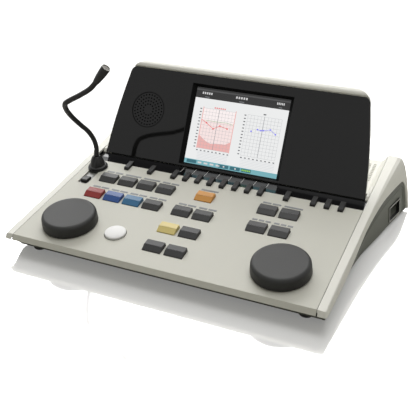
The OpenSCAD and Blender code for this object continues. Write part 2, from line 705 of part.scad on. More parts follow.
module mic_latch() {
    color("#2a2a29") at_panel(mic_u, tongue_v) {
        rotate([90, 0, 90]) linear_extrude(8.4, center = true)
            polygon([[3.4, -1.75], [3.4, 1.4], [4.4, 2.4], [8, 2.4], [14.6, 0.6], [14.6, -1.75]]);
    }
}

// Bell-shaped plug: a wide foot, a concave flare up to the shoulder, and flutes round it
module mic_plug() {
    top_r = neck_r + 2.2;
    rise = plug_h - 4;
    flare = [for (i = [0 : 6]) let (t = i / 6)
        [plug_r - 0.8 + (plug_shoulder - plug_r + 0.8) * sin(90 * t), 1.6 + (rise - 1.6) * t]];
    cap = [for (a = [0 : 15 : 90]) [top_r + (plug_shoulder - top_r) * cos(a), rise + (plug_h - rise) * sin(a)]];
    color("#2b2a29") at_panel(mic_u, mic_v) translate([0, 0, 1.7]) {
        difference() {
            rotate_extrude() polygon(concat([[0, 0], [plug_r, 0], [plug_r, 1]], flare, cap, [[0, plug_h]]));
            for (k = [0 : flutes - 1]) rotate([0, 0, (k + 0.5) * 360 / flutes])
                translate([plug_shoulder + 0.6, 0, 3]) rotate([0, -11, 0]) cylinder(r = 1.5, h = plug_h, $fn = 24);
        }
        translate([0, 0, -12]) cylinder(r = jack_r, h = 12.5);
    }
}

// The neck rises from the plug, leans left and forward, then bends right and up
// towards the capsule
neck_route = [[0, 0, 0], [0.3, 1.2, 9.5], [-2.1, 1.2, 20], [-5.6, -3.8, 32], [-9.1, -13.3, 43.5],
    [-9.1, -28.3, 58.5], [-3.6, -45.3, 74], [4.9, -58.5, 86.5], [13.9, -61.3, 93.1], [26.3, -60.3, 100.1],
    [39.2, -59.3, 108.5], [46.3, -58.3, 115.9]];
function spline(p, i, t) = let (
        a = p[max(i - 1, 0)], b = p[i], c = p[i + 1], d = p[min(i + 2, len(p) - 1)])
    0.5 * ((2 * b) + (c - a) * t + (2 * a - 5 * b + 4 * c - d) * t * t
        + (3 * b - a - 3 * c + d) * t * t * t);
plug_top = [mic_u, front_y + mic_v * cos(slope) - (plug_h + 1.7) * sin(slope),
    front_h + mic_v * sin(slope) + (plug_h + 1.7) * cos(slope)];
neck_path = [for (i = [0 : len(neck_route) - 2], t = [0, 0.25, 0.5, 0.75]) plug_top + spline(neck_route, i, t)];
neck_end = plug_top + neck_route[len(neck_route) - 1];
capsule_dir = [13.6, 2, 17.6] / norm([13.6, 2, 17.6]);

module gooseneck() {
    color("#2b2a29") tube(concat([plug_top + [0, 0, 0.05]], [for (i = [1 : len(neck_path) - 1]) neck_path[i]],
        [neck_end]), neck_r, 10);
}

module mic_capsule() {
    tilt = acos(capsule_dir[2]);
    turn = atan2(capsule_dir[1], capsule_dir[0]);
    color("#4c4b48") translate(neck_end + capsule_dir * 0.4) rotate([0, tilt, turn]) rotate_extrude()
        polygon(concat([[0, 0], [neck_r + 0.3, 0]],
            [for (i = [1 : 5]) let (t = i / 5)
                [neck_r + 0.5 + (capsule_r - neck_r - 0.5) * sin(90 * t), (capsule_l - 4) * t]],
            [[capsule_r, capsule_l - 1], [capsule_r - 0.5, capsule_l - 0.3], [capsule_r - 1, capsule_l - 0.3],
                [capsule_r - 1.4, capsule_l - 0.7], [0, capsule_l - 0.7]]));
}

// --- display lid ----------------------------------------------------------------

function lid_half(s) = lid_w / 2 - lid_draw * pow(clamp(s / face_l, 0, 1), 1.5);

// Outline of the lid up to a given height, with round upper corners
module lid_outline(height, radius, inset) {
    join = height - radius;
    side = [for (i = [0 : 10]) let (s = join * i / 10) [lid_half(s) - inset, s]];
    corner = [for (a = [15 : 15 : 90]) [lid_half(join) - inset - radius + radius * cos(a), join + radius * sin(a)]];
    right = concat(side, corner);
    polygon(concat(right, [for (i = [len(right) - 1 : -1 : 0]) [-right[i][0], right[i][1]]]));
}

module display_back_shell() {
    crest = face_l + 9;
    back = [[0, -bezel_t - touch], [0, 2.5 - lid_t], [2.5, -lid_t], [crest - 6, -lid_t], [crest - 2, 2 - lid_t],
        [crest, 6 - lid_t], [crest - 0.8, -4.2], [face_l + 0.8, -0.6], [face_l + 0.2, -1],
        [face_l + 0.2, -bezel_t - touch]];
    side_angle = atan2(lid_draw, face_l);
    color("#dddcd6") at_lid() difference() {
        intersection() {
            translate([0, 0, -lid_t]) linear_extrude(lid_t) lid_outline(crest, 20, 0);
            rotate([90, 0, 90]) linear_extrude(lid_w, center = true) polygon(back);
        }
        // Cavity behind the bezel
        translate([0, 0, 2 - lid_t]) linear_extrude(lid_t) {
            lid_cavity(21.7 - lid_w / 2, -64, 14, face_l - 5);
            lid_cavity(-70, 70, 1.4, face_l - 5);
            lid_cavity(64, lid_w / 2 - 21.7, 14, face_l - 5);
        }
        // The sides draw in towards the back
        for (m = [0, 1]) mirror([m, 0, 0]) translate([lid_w / 2 + 0.5, -1, -bezel_t - 1])
            rotate([0, 0, side_angle]) rotate([0, 38, 0]) block([40, face_l + 20, 40], [0, 0, -40]);
        // Hinge bores
        translate([0, hinge_s, -hinge_back]) rotate([0, 90, 0]) difference() {
            cylinder(r = pin_r + hinge_gap, h = lid_w + 10, center = true);
            cylinder(r = pin_r + 1, h = 2 * pin_in - 1, center = true);
        }
    }
}

module lid_cavity(u0, u1, s0, s1) {
    translate([u0, s0]) square([u1 - u0, s1 - s0]);
}

module display_front_bezel() {
    open_w = screen_w / 2 + screen_deep;
    low = screen_s - 2.6;
    high = screen_s + screen_h + 3.4;
    color("#2c2c2b") at_lid() difference() {
        union() {
            translate([0, 0, -bezel_t]) linear_extrude(bezel_t) lid_outline(face_l, 8, 0);
            translate([0, 0, -screen_deep]) linear_extrude(screen_deep)
                lid_cavity(-open_w - 1.5, open_w + 1.5, low - 0.5, high + 1.5);
        }
        // Sloped frame around the screen
        intersection() {
            rotate([90, 0, 0]) linear_extrude(3 * face_l, center = true)
                polygon([[-screen_w / 2, -screen_deep - 1], [-screen_w / 2, -screen_deep], [-open_w, 0], [-open_w, 1],
                    [open_w, 1], [open_w, 0], [screen_w / 2, -screen_deep], [screen_w / 2, -screen_deep - 1]]);
            rotate([90, 0, 90]) linear_extrude(lid_w, center = true)
                polygon([[screen_s, -screen_deep - 1], [screen_s, -screen_deep], [low, 0], [low, 1],
                    [high, 1], [high, 0], [screen_s + screen_h, -screen_deep],
                    [screen_s + screen_h, -screen_deep - 1]]);
        }
        translate([speaker_u, speaker_s, -lid_t]) cylinder(r = speaker_r + touch, h = 2 * lid_t);
    }
}

module screen_panel() {
    color("#dfe3e6") at_lid() block([screen_w + 8, screen_h + 4, lid_t - screen_deep - 2.3],
        [-screen_w / 2 - 4, screen_s - 2, 2.2 - lid_t]);
}

// Perforated grille disc, and the loudspeaker behind it
module speaker() {
    rings = 4;
    color("#262625") at_lid() translate([speaker_u, speaker_s, 0]) {
        translate([0, 0, -2.2]) linear_extrude(1.9) difference() {
            circle(r = speaker_r);
            // Rings of square holes round a blank middle, six more in each ring
            for (n = [1 : rings]) for (k = [0 : 6 * n + 5]) rotate((k + n / 2) * 60 / (n + 1))
                translate([speaker_r - 3 - (rings - n) * grille_pitch, 0]) square(grille_hole, center = true);
        }
        translate([0, 0, 2.3 - lid_t]) cylinder(r = 12, h = 4);
        translate([0, 0, 6.2 - lid_t]) cylinder(r = speaker_r - 1, h = lid_t - 6.2 - 2.5);
    }
}

// --- rear connectors ------------------------------------------------------------

jack_count = 10;
inlet_x = plate_w / 2 - inlet_in;
switch_x = inlet_x - switch_step;
usb_x = switch_x - usb_step;
function jack_x(i) = usb_x - jack_step - i * jack_pitch;

// The connector panel's own plane: x to the right, y up, z towards the rear
module at_connectors() {
    translate([0, front_y + panel_y, 0]) rotate([90, 0, 0]) mirror([0, 0, 1]) children();
}

module connector_panel() {
    top = top_z(panel_y) - deck_drop - wall - 0.7;
    low = floor_z + 0.1;
    shoulder = arch_z(panel_y) - 1.5;
    function reach(z) = panel_x(panel_y, z) - wall - 0.6;
    right = [[reach(low), low], [reach((low + shoulder) / 2), (low + shoulder) / 2],
        [reach(shoulder), shoulder], [plate_w / 2 - 6, shoulder], [plate_w / 2 - 6, top]];
    color("#2d2e2d") at_connectors() linear_extrude(2) difference() {
        polygon(concat(right, [for (i = [len(right) - 1 : -1 : 0]) [-right[i][0], right[i][1]]]));
        for (i = [0 : jack_count - 1]) translate([jack_x(i), jack_z]) circle(r = 5 + touch);
        translate([usb_x - 6, jack_z - 5.5]) square([12, 11]);
        translate([inlet_x - 14, jack_z - 10.2]) square([28, 20.4]);
        translate([switch_x - 8.5, jack_z - 11]) square([17, 22]);
    }
}

// Jack sockets with their nuts, and the shell of the data socket
module jack_sockets() {
    color("#3a3a3c") at_connectors() {
        for (i = [0 : jack_count - 1]) translate([jack_x(i), jack_z]) difference() {
            union() {
                block([14, 14, 21.9], [-7, -7, -22]);
                translate([0, 0, -1]) cylinder(r = 5, h = 5.5);
                translate([0, 0, 2.1]) cylinder(r = 7, h = 1.8, $fn = 6);
            }
            translate([0, 0, -16]) cylinder(r = socket_r, h = 40);
        }
        translate([usb_x, jack_z, 0]) difference() {
            block([11.8, 10.8, 17], [-5.9, -5.4, -14]);
            block([8.6, 7.9, 40], [-4.3, -3.95, -12]);
        }
    }
}

// Three-pin mains inlet with a flange and chamfered recess, and the frame of the switch
module mains_inlet() {
    color("#1f1f20") at_connectors() translate([switch_x, jack_z, 0]) difference() {
        union() {
            block([16.8, 21.8, 16], [-8.4, -10.9, -13]);
            block([20, 25, 1.6], [-10, -12.5, 2.05]);
        }
        block([13, 18.2, 40], [-6.5, -9.1, -11]);
        translate([0, 0, 1.5]) rotate([0, 90, 0]) cylinder(r = rock_r + hinge_gap, h = 16, center = true);
    }
    color("#1f1f20") at_connectors() translate([inlet_x, jack_z, 0]) {
        difference() {
            union() {
                block([27.8, 20.2, 21], [-13.9, -10.1, -18]);
                block([31, 24, 2], [-15.5, -12, 2.05]);
            }
            translate([0, 0, -13]) linear_extrude(40)
                polygon([[-12, -8.3], [12, -8.3], [12, 4.3], [8, 8.3], [-8, 8.3], [-12, 4.3]]);
        }
        for (p = [[-7, -1.5], [0, 2.5], [7, -1.5]]) block([2, 4, 12], [p[0] - 1, p[1] - 2, -13.5]);
    }
}

// Rocker of the mains switch, pivoting in its frame
module mains_switch() {
    color("#18181a") at_connectors() translate([switch_x, jack_z, 1.5]) rotate([7, 0, 0]) {
        rotate([90, 0, 90]) linear_extrude(12.6, center = true)
            polygon([[-8.6, 0], [-8.6, 2.4], [0, 1.4], [8.6, 2.4], [8.6, 0], [3, -7], [-3, -7]]);
        // Trunnion on which it rocks
        rotate([0, 90, 0]) cylinder(r = rock_r, h = 15.4, center = true);
    }
}

// Main board on its posts, with the power supply module and its heat sink fins
module main_board() {
    z0 = base_z + wall + 5;
    on_board = z0 + board_t - 0.1;
    y0 = front_y + main_y;
    color("#2b5f47") {
        block([main_w, main_l, board_t], [-main_w / 2, y0, z0]);
        block([86, 60, 16], [28, y0 + 62, on_board]);
        for (i = [0 : 7]) block([2, 30, 12], [-100 + i * 5, y0 + 84, on_board]);
        block([30, 30, 2.6], [-30, y0 + 34, on_board]);
    }
}

// --- small hardware -------------------------------------------------------------

module feet() {
    color("#2a2a2a") for (x = [-foot_x, foot_x], y = [nose + foot_r - 0.5, depth - 10.5 - foot_r])
        translate([x, front_y + y, 0]) {
            cylinder(r1 = foot_r - 0.8, r2 = foot_r, h = 1);
            translate([0, 0, 1]) cylinder(r = foot_r, h = base_z + 0.3 - 1);
        }
}

module pins_and_screws() {
    half = plate_w / 2 - seam;
    color("#b8babd") {
        for (s = [-1, 1]) translate([s * (pin_in + half) / 2, front_y + hinge_y, hinge_z]) rotate([0, 90, 0])
            cylinder(r = pin_r, h = half - pin_in, center = true);
        for (x = [-1, 1], y = [screw_front, depth - screw_back])
            translate([x * screw_x, front_y + y, base_z + 0.6]) cylinder(r = 3.9, h = 1.15);
    }
}

lower_case();
cheek_left();
cheek_right();
rear_deck();
faceplate();
function_strip();
indicator_bars();
connector_panel();
jack_sockets();
mains_inlet();
key_board();
main_board();
mic_socket();
feet();
pins_and_screws();
dial_left();
dial_right();
tone_button();
mic_latch();
mains_switch();
mic_plug();
gooseneck();
mic_capsule();
display_back_shell();
display_front_bezel();
screen_panel();
speaker();
for (i = [0 : len(large_keys) - 1])
    large_key(i);
for (i = [0 : len(fkey_slots) - 1])
    function_key(i);
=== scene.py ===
import bpy
import bmesh
import json
from math import sin, cos, tan, atan2, radians, pi, sqrt, hypot
from mathutils import Matrix, Vector


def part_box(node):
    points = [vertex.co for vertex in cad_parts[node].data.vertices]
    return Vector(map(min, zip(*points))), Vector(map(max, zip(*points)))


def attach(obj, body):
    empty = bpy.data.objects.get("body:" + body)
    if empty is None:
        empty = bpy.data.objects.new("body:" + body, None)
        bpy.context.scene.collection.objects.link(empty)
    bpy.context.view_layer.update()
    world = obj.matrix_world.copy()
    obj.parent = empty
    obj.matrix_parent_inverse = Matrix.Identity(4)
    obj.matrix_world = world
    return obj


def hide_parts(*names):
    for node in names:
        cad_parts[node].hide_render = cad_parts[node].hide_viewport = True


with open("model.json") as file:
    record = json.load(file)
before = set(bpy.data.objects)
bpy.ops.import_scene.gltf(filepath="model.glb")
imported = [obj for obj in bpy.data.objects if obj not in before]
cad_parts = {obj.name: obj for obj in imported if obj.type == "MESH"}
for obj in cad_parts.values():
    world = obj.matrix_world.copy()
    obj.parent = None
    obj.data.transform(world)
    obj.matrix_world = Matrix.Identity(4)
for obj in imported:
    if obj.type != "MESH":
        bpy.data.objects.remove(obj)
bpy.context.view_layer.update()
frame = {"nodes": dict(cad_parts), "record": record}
nodes = frame["nodes"]
print("frame loaded:", len(nodes), "nodes")

mm = 0.001
console = {"frontZ": 25.5, "lipReach": 2.58, "slope": 7.65, "plateHalf": 171.4, "cheekHalf": 180.3}
console["frontY"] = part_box("faceplate")[0][1] / mm + console["lipReach"]
slope = radians(console["slope"])
frontMatrix = Matrix.Translation((0, console["frontY"] * mm, 0))  # the front edge, at table height
panelMatrix = (Matrix.Translation((0, console["frontY"] * mm, console["frontZ"] * mm))
               @ Matrix.Rotation(slope, 4, "X"))
lid = {"y": 189.6, "z": 47.5, "tilt": 62.65, "foot": 2.6}
lidMatrix = (Matrix.Translation((0, (console["frontY"] + lid["y"]) * mm, lid["z"] * mm))
             @ Matrix.Rotation(radians(lid["tilt"]), 4, "X"))


# materials

def srgb(r, g, b):
    def channel(c):
        c = c / 255
        return c / 12.92 if c <= 0.04045 else ((c + 0.055) / 1.055) ** 2.4
    return (channel(r), channel(g), channel(b), 1)


def newGroup(name, inputs, outputs):
    group = bpy.data.node_groups.new(name, "ShaderNodeTree")
    for kind, socketName, value in inputs:
        socket = group.interface.new_socket(socketName, in_out="INPUT", socket_type=kind)
        socket.default_value = value
    for kind, socketName in outputs:
        group.interface.new_socket(socketName, in_out="OUTPUT", socket_type=kind)
    entry = group.nodes.new("NodeGroupInput")
    leave = group.nodes.new("NodeGroupOutput")
    return group, entry, leave


def mathNode(group, operation, *values):
    node = group.nodes.new("ShaderNodeMath")
    node.operation = operation
    for i, value in enumerate(values):
        if isinstance(value, (int, float)):
            node.inputs[i].default_value = value
        else:
            group.links.new(value, node.inputs[i])
    return node.outputs[0]


def buildMouldGrain():
    # fine spark-eroded texture of a moulding, with a slow drift of tone and gloss
    group, entry, leave = newGroup("mouldGrain", [
        ("NodeSocketColor", "Color", (0.5, 0.5, 0.5, 1)), ("NodeSocketFloat", "Grain Size", 2200.0),
        ("NodeSocketFloat", "Tone Drift", 0.04), ("NodeSocketFloat", "Roughness", 0.5),
        ("NodeSocketFloat", "Gloss Drift", 0.06)],
        [("NodeSocketColor", "Color"), ("NodeSocketFloat", "Roughness"), ("NodeSocketFloat", "Height")])
    link = group.links.new
    place = group.nodes.new("ShaderNodeTexCoord")
    grain = group.nodes.new("ShaderNodeTexNoise")
    grain.inputs["Detail"].default_value = 2
    drift = group.nodes.new("ShaderNodeTexNoise")
    drift.inputs["Scale"].default_value = 28
    drift.inputs["Detail"].default_value = 3
    link(place.outputs["Object"], grain.inputs["Vector"])
    link(entry.outputs["Grain Size"], grain.inputs["Scale"])
    link(place.outputs["Object"], drift.inputs["Vector"])
    centred = mathNode(group, "SUBTRACT", drift.outputs["Fac"], 0.5)
    tone = mathNode(group, "MULTIPLY_ADD", centred, entry.outputs["Tone Drift"], 1)
    scale = group.nodes.new("ShaderNodeVectorMath")
    scale.operation = "SCALE"
    link(entry.outputs["Color"], scale.inputs[0])
    link(tone, scale.inputs["Scale"])
    rough = mathNode(group, "MULTIPLY_ADD", centred, entry.outputs["Gloss Drift"], entry.outputs["Roughness"])
    link(scale.outputs["Vector"], leave.inputs["Color"])
    link(rough, leave.inputs["Roughness"])
    link(grain.outputs["Fac"], leave.inputs["Height"])
    return group


mouldGrain = buildMouldGrain()


reliefDepth = 0.0001


def plastic(name, color, roughness=0.5, grain=2200, bump=0.08, drift=0.05, specular=0.5):
    material = bpy.data.materials.new(name)
    material.use_nodes = True
    tree = material.node_tree
    shader = tree.nodes["Principled BSDF"]
    surface = tree.nodes.new("ShaderNodeGroup")
    surface.node_tree = mouldGrain
    surface.inputs["Color"].default_value = color
    surface.inputs["Grain Size"].default_value = grain
    surface.inputs["Tone Drift"].default_value = drift
    surface.inputs["Roughness"].default_value = roughness
    surface.inputs["Gloss Drift"].default_value = 0.12 * roughness
    relief = tree.nodes.new("ShaderNodeBump")
    relief.inputs["Strength"].default_value = bump
    relief.inputs["Distance"].default_value = reliefDepth
    tree.links.new(surface.outputs["Height"], relief.inputs["Height"])
    tree.links.new(surface.outputs["Color"], shader.inputs["Base Color"])
    tree.links.new(surface.outputs["Roughness"], shader.inputs["Roughness"])
    tree.links.new(relief.outputs["Normal"], shader.inputs["Normal"])
    shader.inputs["Specular IOR Level"].default_value = specular
    material.diffuse_color = color
    return material


def metal(name, color, roughness=0.3, grain=900, bump=0.1):
    material = plastic(name, color, roughness, grain, bump)
    material.node_tree.nodes["Principled BSDF"].inputs["Metallic"].default_value = 1
    return material


def glow(name, color, strength):
    # a lit area of the display
    material = plastic(name, (0.01, 0.01, 0.01, 1), 0.25, 900, 0.0)
    tree = material.node_tree
    shader = tree.nodes["Principled BSDF"]
    surface = tree.nodes.new("ShaderNodeGroup")
    surface.node_tree = mouldGrain
    surface.inputs["Color"].default_value = color
    surface.inputs["Tone Drift"].default_value = 0.03
    tree.links.new(surface.outputs["Color"], shader.inputs["Emission Color"])
    shader.inputs["Emission Strength"].default_value = strength
    return material


finishes = {
    "light": plastic("lightMoulding", srgb(226, 225, 217), 0.42, 1500, 0.1, specular=0.4),
    "plate": plastic("plateMoulding", srgb(204, 203, 193), 0.5, 1900, 0.15, specular=0.35),
    "grey": plastic("greyMoulding", srgb(104, 106, 98), 0.5, 1500, 0.2, specular=0.3),
    "gloss": plastic("glossBlack", srgb(21, 21, 21), 0.06, 900, 0.0, drift=0.1, specular=0.26),
    "strip": plastic("stripBlack", srgb(13, 13, 15), 0.1, 900, 0.0, drift=0.1, specular=0.34),
    "keyGrey": plastic("keyGrey", srgb(32, 32, 31), 0.4, 1800, 0.1, specular=0.36),
    "keyDark": plastic("keyDark", srgb(30, 30, 29), 0.4, 1800, 0.1, specular=0.26),
    "keyRed": plastic("keyRed", srgb(140, 34, 28), 0.38, 1800, 0.1, specular=0.4),
    "keyBlue": plastic("keyBlue", srgb(24, 70, 138), 0.38, 1800, 0.1, specular=0.45),
    "keyLightBlue": plastic("keyLightBlue", srgb(42, 102, 142), 0.38, 1800, 0.1, specular=0.42),
    "keyOrange": plastic("keyOrange", srgb(208, 146, 66), 0.38, 1800, 0.1, specular=0.35),
    "keyYellow": plastic("keyYellow", srgb(218, 200, 128), 0.34, 1800, 0.1, specular=0.35),
    "white": plastic("whiteButton", srgb(228, 228, 227), 0.3, 1500, 0.05, specular=0.4),
    "dial": plastic("softTouch", srgb(32, 32, 30), 0.5, 2600, 0.2, specular=0.33),
    # black plastic, also laid on the deck trough and in the side port as painted shade
    "black": plastic("blackPlasticAndShade", srgb(30, 30, 29), 0.42, 1600, 0.15, specular=0.3),
    # matt black of the window frame, also used as painted shade in the seams, the tone button gap and the
    # grille holes
    "frame": plastic("frameBlackAndShade", srgb(11, 11, 11), 0.55, 1400, 0.03, specular=0.06),
    "matBlack": plastic("neckRubber", srgb(26, 25, 24), 0.5, 1600, 0.2, specular=0.3),
    "bars": plastic("lightGuide", srgb(136, 139, 142), 0.35, 900, 0.03, specular=0.3),
    "liner": plastic("recessLiner", srgb(140, 141, 138), 0.3, 1400, 0.05),
    "screen": plastic("screenGlass", srgb(20, 22, 24), 0.12, 900, 0.0),
    "board": plastic("solderMask", srgb(36, 92, 58), 0.35, 700, 0.1),
    "steel": metal("turnedSteel", srgb(186, 188, 190), 0.3),
    "rubber": plastic("footRubber", srgb(34, 34, 34), 0.75, 1200, 0.3),
    "capsule": metal("capsuleMesh", srgb(84, 81, 77), 0.45, 2400, 0.4),
    # pale rim of the capsule, also the painted highlight on the side port's frame
    "rim": plastic("paleRimAndPortHighlight", srgb(165, 165, 160), 0.35, 1400, 0.05),
    "tick": plastic("whitePrint", srgb(225, 225, 222), 0.5, 1400, 0.02),
    "page": glow("screenPage", srgb(236, 237, 237), 0.95),
    "bar": glow("screenBar", srgb(12, 12, 13), 1.0),
    "barLight": glow("screenBarSheen", srgb(60, 60, 61), 1.0),
    "mark": glow("screenMark", srgb(205, 205, 205), 1.0),
    "pink": glow("screenPink", srgb(242, 222, 220), 1.0),
    "palePink": glow("screenPalePink", srgb(246, 236, 235), 1.0),
    "rose": glow("screenRose", srgb(230, 172, 168), 1.0),
    "red": glow("screenRed", srgb(226, 96, 96), 1.0),
    "green": glow("screenGreen", srgb(150, 190, 150), 1.0),
    "line": glow("screenLine", srgb(168, 170, 174), 1.0),
    "darkLine": glow("screenDarkLine", srgb(120, 122, 126), 1.0),
    "ink": glow("screenInk", srgb(90, 92, 96), 1.0),
    "blueLine": glow("screenBlue", srgb(120, 120, 235), 1.0),
    "shade": glow("screenShade", srgb(208, 210, 214), 1.0),
    "teal": glow("screenTeal", srgb(110, 170, 180), 1.0),
    "darkTeal": glow("screenDarkTeal", srgb(30, 98, 112), 1.0),
    "greenMark": glow("screenGreenMark", srgb(140, 200, 70), 1.0),
}
slotFinish = {
    "light_plastic": "light", "plate_plastic": "plate", "grey_plastic": "grey", "gloss_black": "gloss",
    "key_grey": "keyGrey", "key_dark": "keyDark", "key_red": "keyRed", "key_blue": "keyBlue",
    "key_light_blue": "keyLightBlue", "key_orange": "keyOrange", "key_yellow": "keyYellow",
    "white_plastic": "white", "soft_touch": "dial", "black_plastic": "black", "bar_plastic": "bars",
    "screen_glass": "screen", "grille_metal": "capsule", "board": "board", "steel": "steel",
    "rubber": "rubber"}
nodeSlot = {s["node"]: s["material_slot"] for s in frame["record"]["subparts"]}
nodeBody = {n: b for b, group in frame["record"]["behaviour"]["bodies"].items() for n in group}
specialFinish = {"function_strip": "strip", "gooseneck": "matBlack", "speaker": "gloss"}


def finishOf(nodeName):
    return finishes[specialFinish.get(nodeName, slotFinish[nodeSlot[nodeName]])]


for nodeName, node in nodes.items():
    node.data.materials.clear()
    node.data.materials.append(finishOf(nodeName))
print("materials:", len(finishes))


# modelling helpers: pieces are modelled in millimetres and placed last

def activate(piece):
    if bpy.context.object and bpy.context.object.mode != "OBJECT":
        bpy.ops.object.mode_set(mode="OBJECT")
    bpy.ops.object.select_all(action="DESELECT")
    if piece:
        piece.select_set(True)
        bpy.context.view_layer.objects.active = piece


def edit(piece):
    activate(piece)
    bpy.ops.object.mode_set(mode="EDIT")
    bpy.ops.mesh.select_all(action="SELECT")


def pick(piece, kind, test):
    bpy.ops.mesh.select_mode(type=kind)
    bpy.ops.mesh.select_all(action="DESELECT")
    mesh = bmesh.from_edit_mesh(piece.data)
    for part in {"VERT": mesh.verts, "EDGE": mesh.edges, "FACE": mesh.faces}[kind]:
        if test(part):
            part.select_set(True)
    mesh.select_flush_mode()
    bmesh.update_edit_mesh(piece.data)


def middle(edge):
    return (edge.verts[0].co + edge.verts[1].co) / 2


def upright(edge):
    run = edge.verts[1].co - edge.verts[0].co
    return abs(run.z) > 0.98 * run.length


def cuboid(low, high):
    activate(None)
    size = [b - a for a, b in zip(low, high)]
    centre = [(a + b) / 2 for a, b in zip(low, high)]
    bpy.ops.mesh.primitive_cube_add(size=1, location=centre, scale=size)
    piece = bpy.context.object
    bpy.ops.object.transform_apply(location=True, rotation=True, scale=True)
    return piece


def lathe(profile, steps):
    # (radius, height) points spun about the z axis
    mesh = bpy.data.meshes.new("profile")
    mesh.from_pydata([(r, 0, z) for r, z in profile], [(i, i + 1) for i in range(len(profile) - 1)], [])
    piece = bpy.data.objects.new("profile", mesh)
    bpy.context.scene.collection.objects.link(piece)
    edit(piece)
    bpy.ops.mesh.spin(steps=steps, angle=2 * pi, center=(0, 0, 0), axis=(0, 0, 1))
    bpy.ops.mesh.select_all(action="SELECT")
    bpy.ops.mesh.remove_doubles(threshold=0.001)
    bpy.ops.mesh.normals_make_consistent(inside=False)
    bpy.ops.object.mode_set(mode="OBJECT")
    return piece


def applyModifier(piece, kind, **settings):
    modifier = piece.modifiers.new(kind.lower(), kind)
    for key, value in settings.items():
        setattr(modifier, key, value)
    activate(piece)
    bpy.ops.object.modifier_apply(modifier=modifier.name)


def smoothFaces(piece, angle):
    # large flat faces keep their own normal, and the bends beside them take up the turn
    activate(piece)
    bpy.ops.object.shade_smooth_by_angle(angle=radians(angle))
    applyModifier(piece, "WEIGHTED_NORMAL", keep_sharp=True, weight=100)


def place(piece, name, matrix, finish, body, slotName, replaced=(), smooth=35):
    piece.name = name
    piece.data.name = name
    piece.matrix_world = matrix @ Matrix.Scale(mm, 4)
    activate(piece)
    bpy.ops.object.transform_apply(location=True, rotation=True, scale=True)
    smoothFaces(piece, smooth)
    if finish:
        piece.data.materials.clear()
        piece.data.materials.append(finishes[finish])
    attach(piece, body)
    if replaced:
        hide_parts(*replaced)
    return piece


def copyOf(piece):
    twin = piece.copy()
    twin.data = piece.data.copy()
    bpy.context.scene.collection.objects.link(twin)
    return twin


def dropMaster(piece):
    bpy.data.objects.remove(piece, do_unlink=True)


# mouldings: merged copies of the frame's shells, with broken edges

crest = {"from": 113.25, "cuts": (114.4, 115.6, 117, 118.4, 119.6), "peak": 115.5, "top": -0.5, "bow": 0.122,
         "depth": -4.9, "rim": 0.6, "sharp": 25, "edge": 1.1}


def roundCrest(piece):
    # the flat band along the lid's upper edge is bowed into a round one, and its rim broken
    toLid = lidMatrix.inverted()
    for s in crest["cuts"]:
        bpy.ops.mesh.select_all(action="SELECT")
        bpy.ops.mesh.bisect(plane_co=lidMatrix @ Vector((0, s * mm, 0)),
                            plane_no=lidMatrix.to_3x3() @ Vector((0, 1, 0)))
    mesh = bmesh.from_edit_mesh(piece.data)
    for v in mesh.verts:
        p = toLid @ v.co / mm
        if p.y > crest["from"] and p.z > crest["depth"]:
            p.z = crest["top"] - crest["bow"] * (p.y - crest["peak"]) ** 2
            v.co = lidMatrix @ (p * mm)
    bmesh.update_edit_mesh(piece.data)

    def onRim(e):
        ends = [toLid @ v.co / mm for v in e.verts]
        return (min(p.y for p in ends) > crest["from"]
                and min(p.z for p in ends) > crest["depth"] - crest["rim"]
                and e.calc_face_angle(0) > radians(crest["sharp"]))
    pick(piece, "EDGE", onRim)
    bpy.ops.mesh.bevel(offset=crest["edge"] * mm, segments=4, affect="EDGES")


cheekCorner = {"cad": 6.5, "round": 1.8, "skin": 1, "lean": 0.43, "leanRun": 8, "lip": 1.7,
               "lipDrop": 6, "lipRun": 150}


def squareCorner(piece):
    # the cheek's front corner is drawn out to a small radius
    def cut(radius, y):
        return radius - sqrt(radius * radius - (radius - y) ** 2) if y < radius else 0
    mesh = bmesh.from_edit_mesh(piece.data)
    for v in mesh.verts:
        x, y, z = v.co.x / mm, v.co.y / mm - console["frontY"], v.co.z / mm
        below = max(0, console["frontZ"] + y * tan(slope) - z)
        lean = cheekCorner["lean"]
        y = max(0, (y + lean * below) / (1 + lean * below / cheekCorner["leanRun"]))
        out = console["cheekHalf"] - cut(cheekCorner["cad"], y)
        out += cheekCorner["lip"] * min(1, below / cheekCorner["lipDrop"]) * (1 - y / cheekCorner["lipRun"])
        if abs(x) > out - cheekCorner["skin"] and y < cheekCorner["cad"]:
            grow = cut(cheekCorner["cad"], y) - cut(cheekCorner["round"], y)
            v.co.x += grow * mm * (1 if x > 0 else -1)
    bmesh.update_edit_mesh(piece.data)


mouldFinish = {"weld": 0.000004, "flat": 0.3, "limit": 35, "smooth": 35, "seamBand": 0.4}


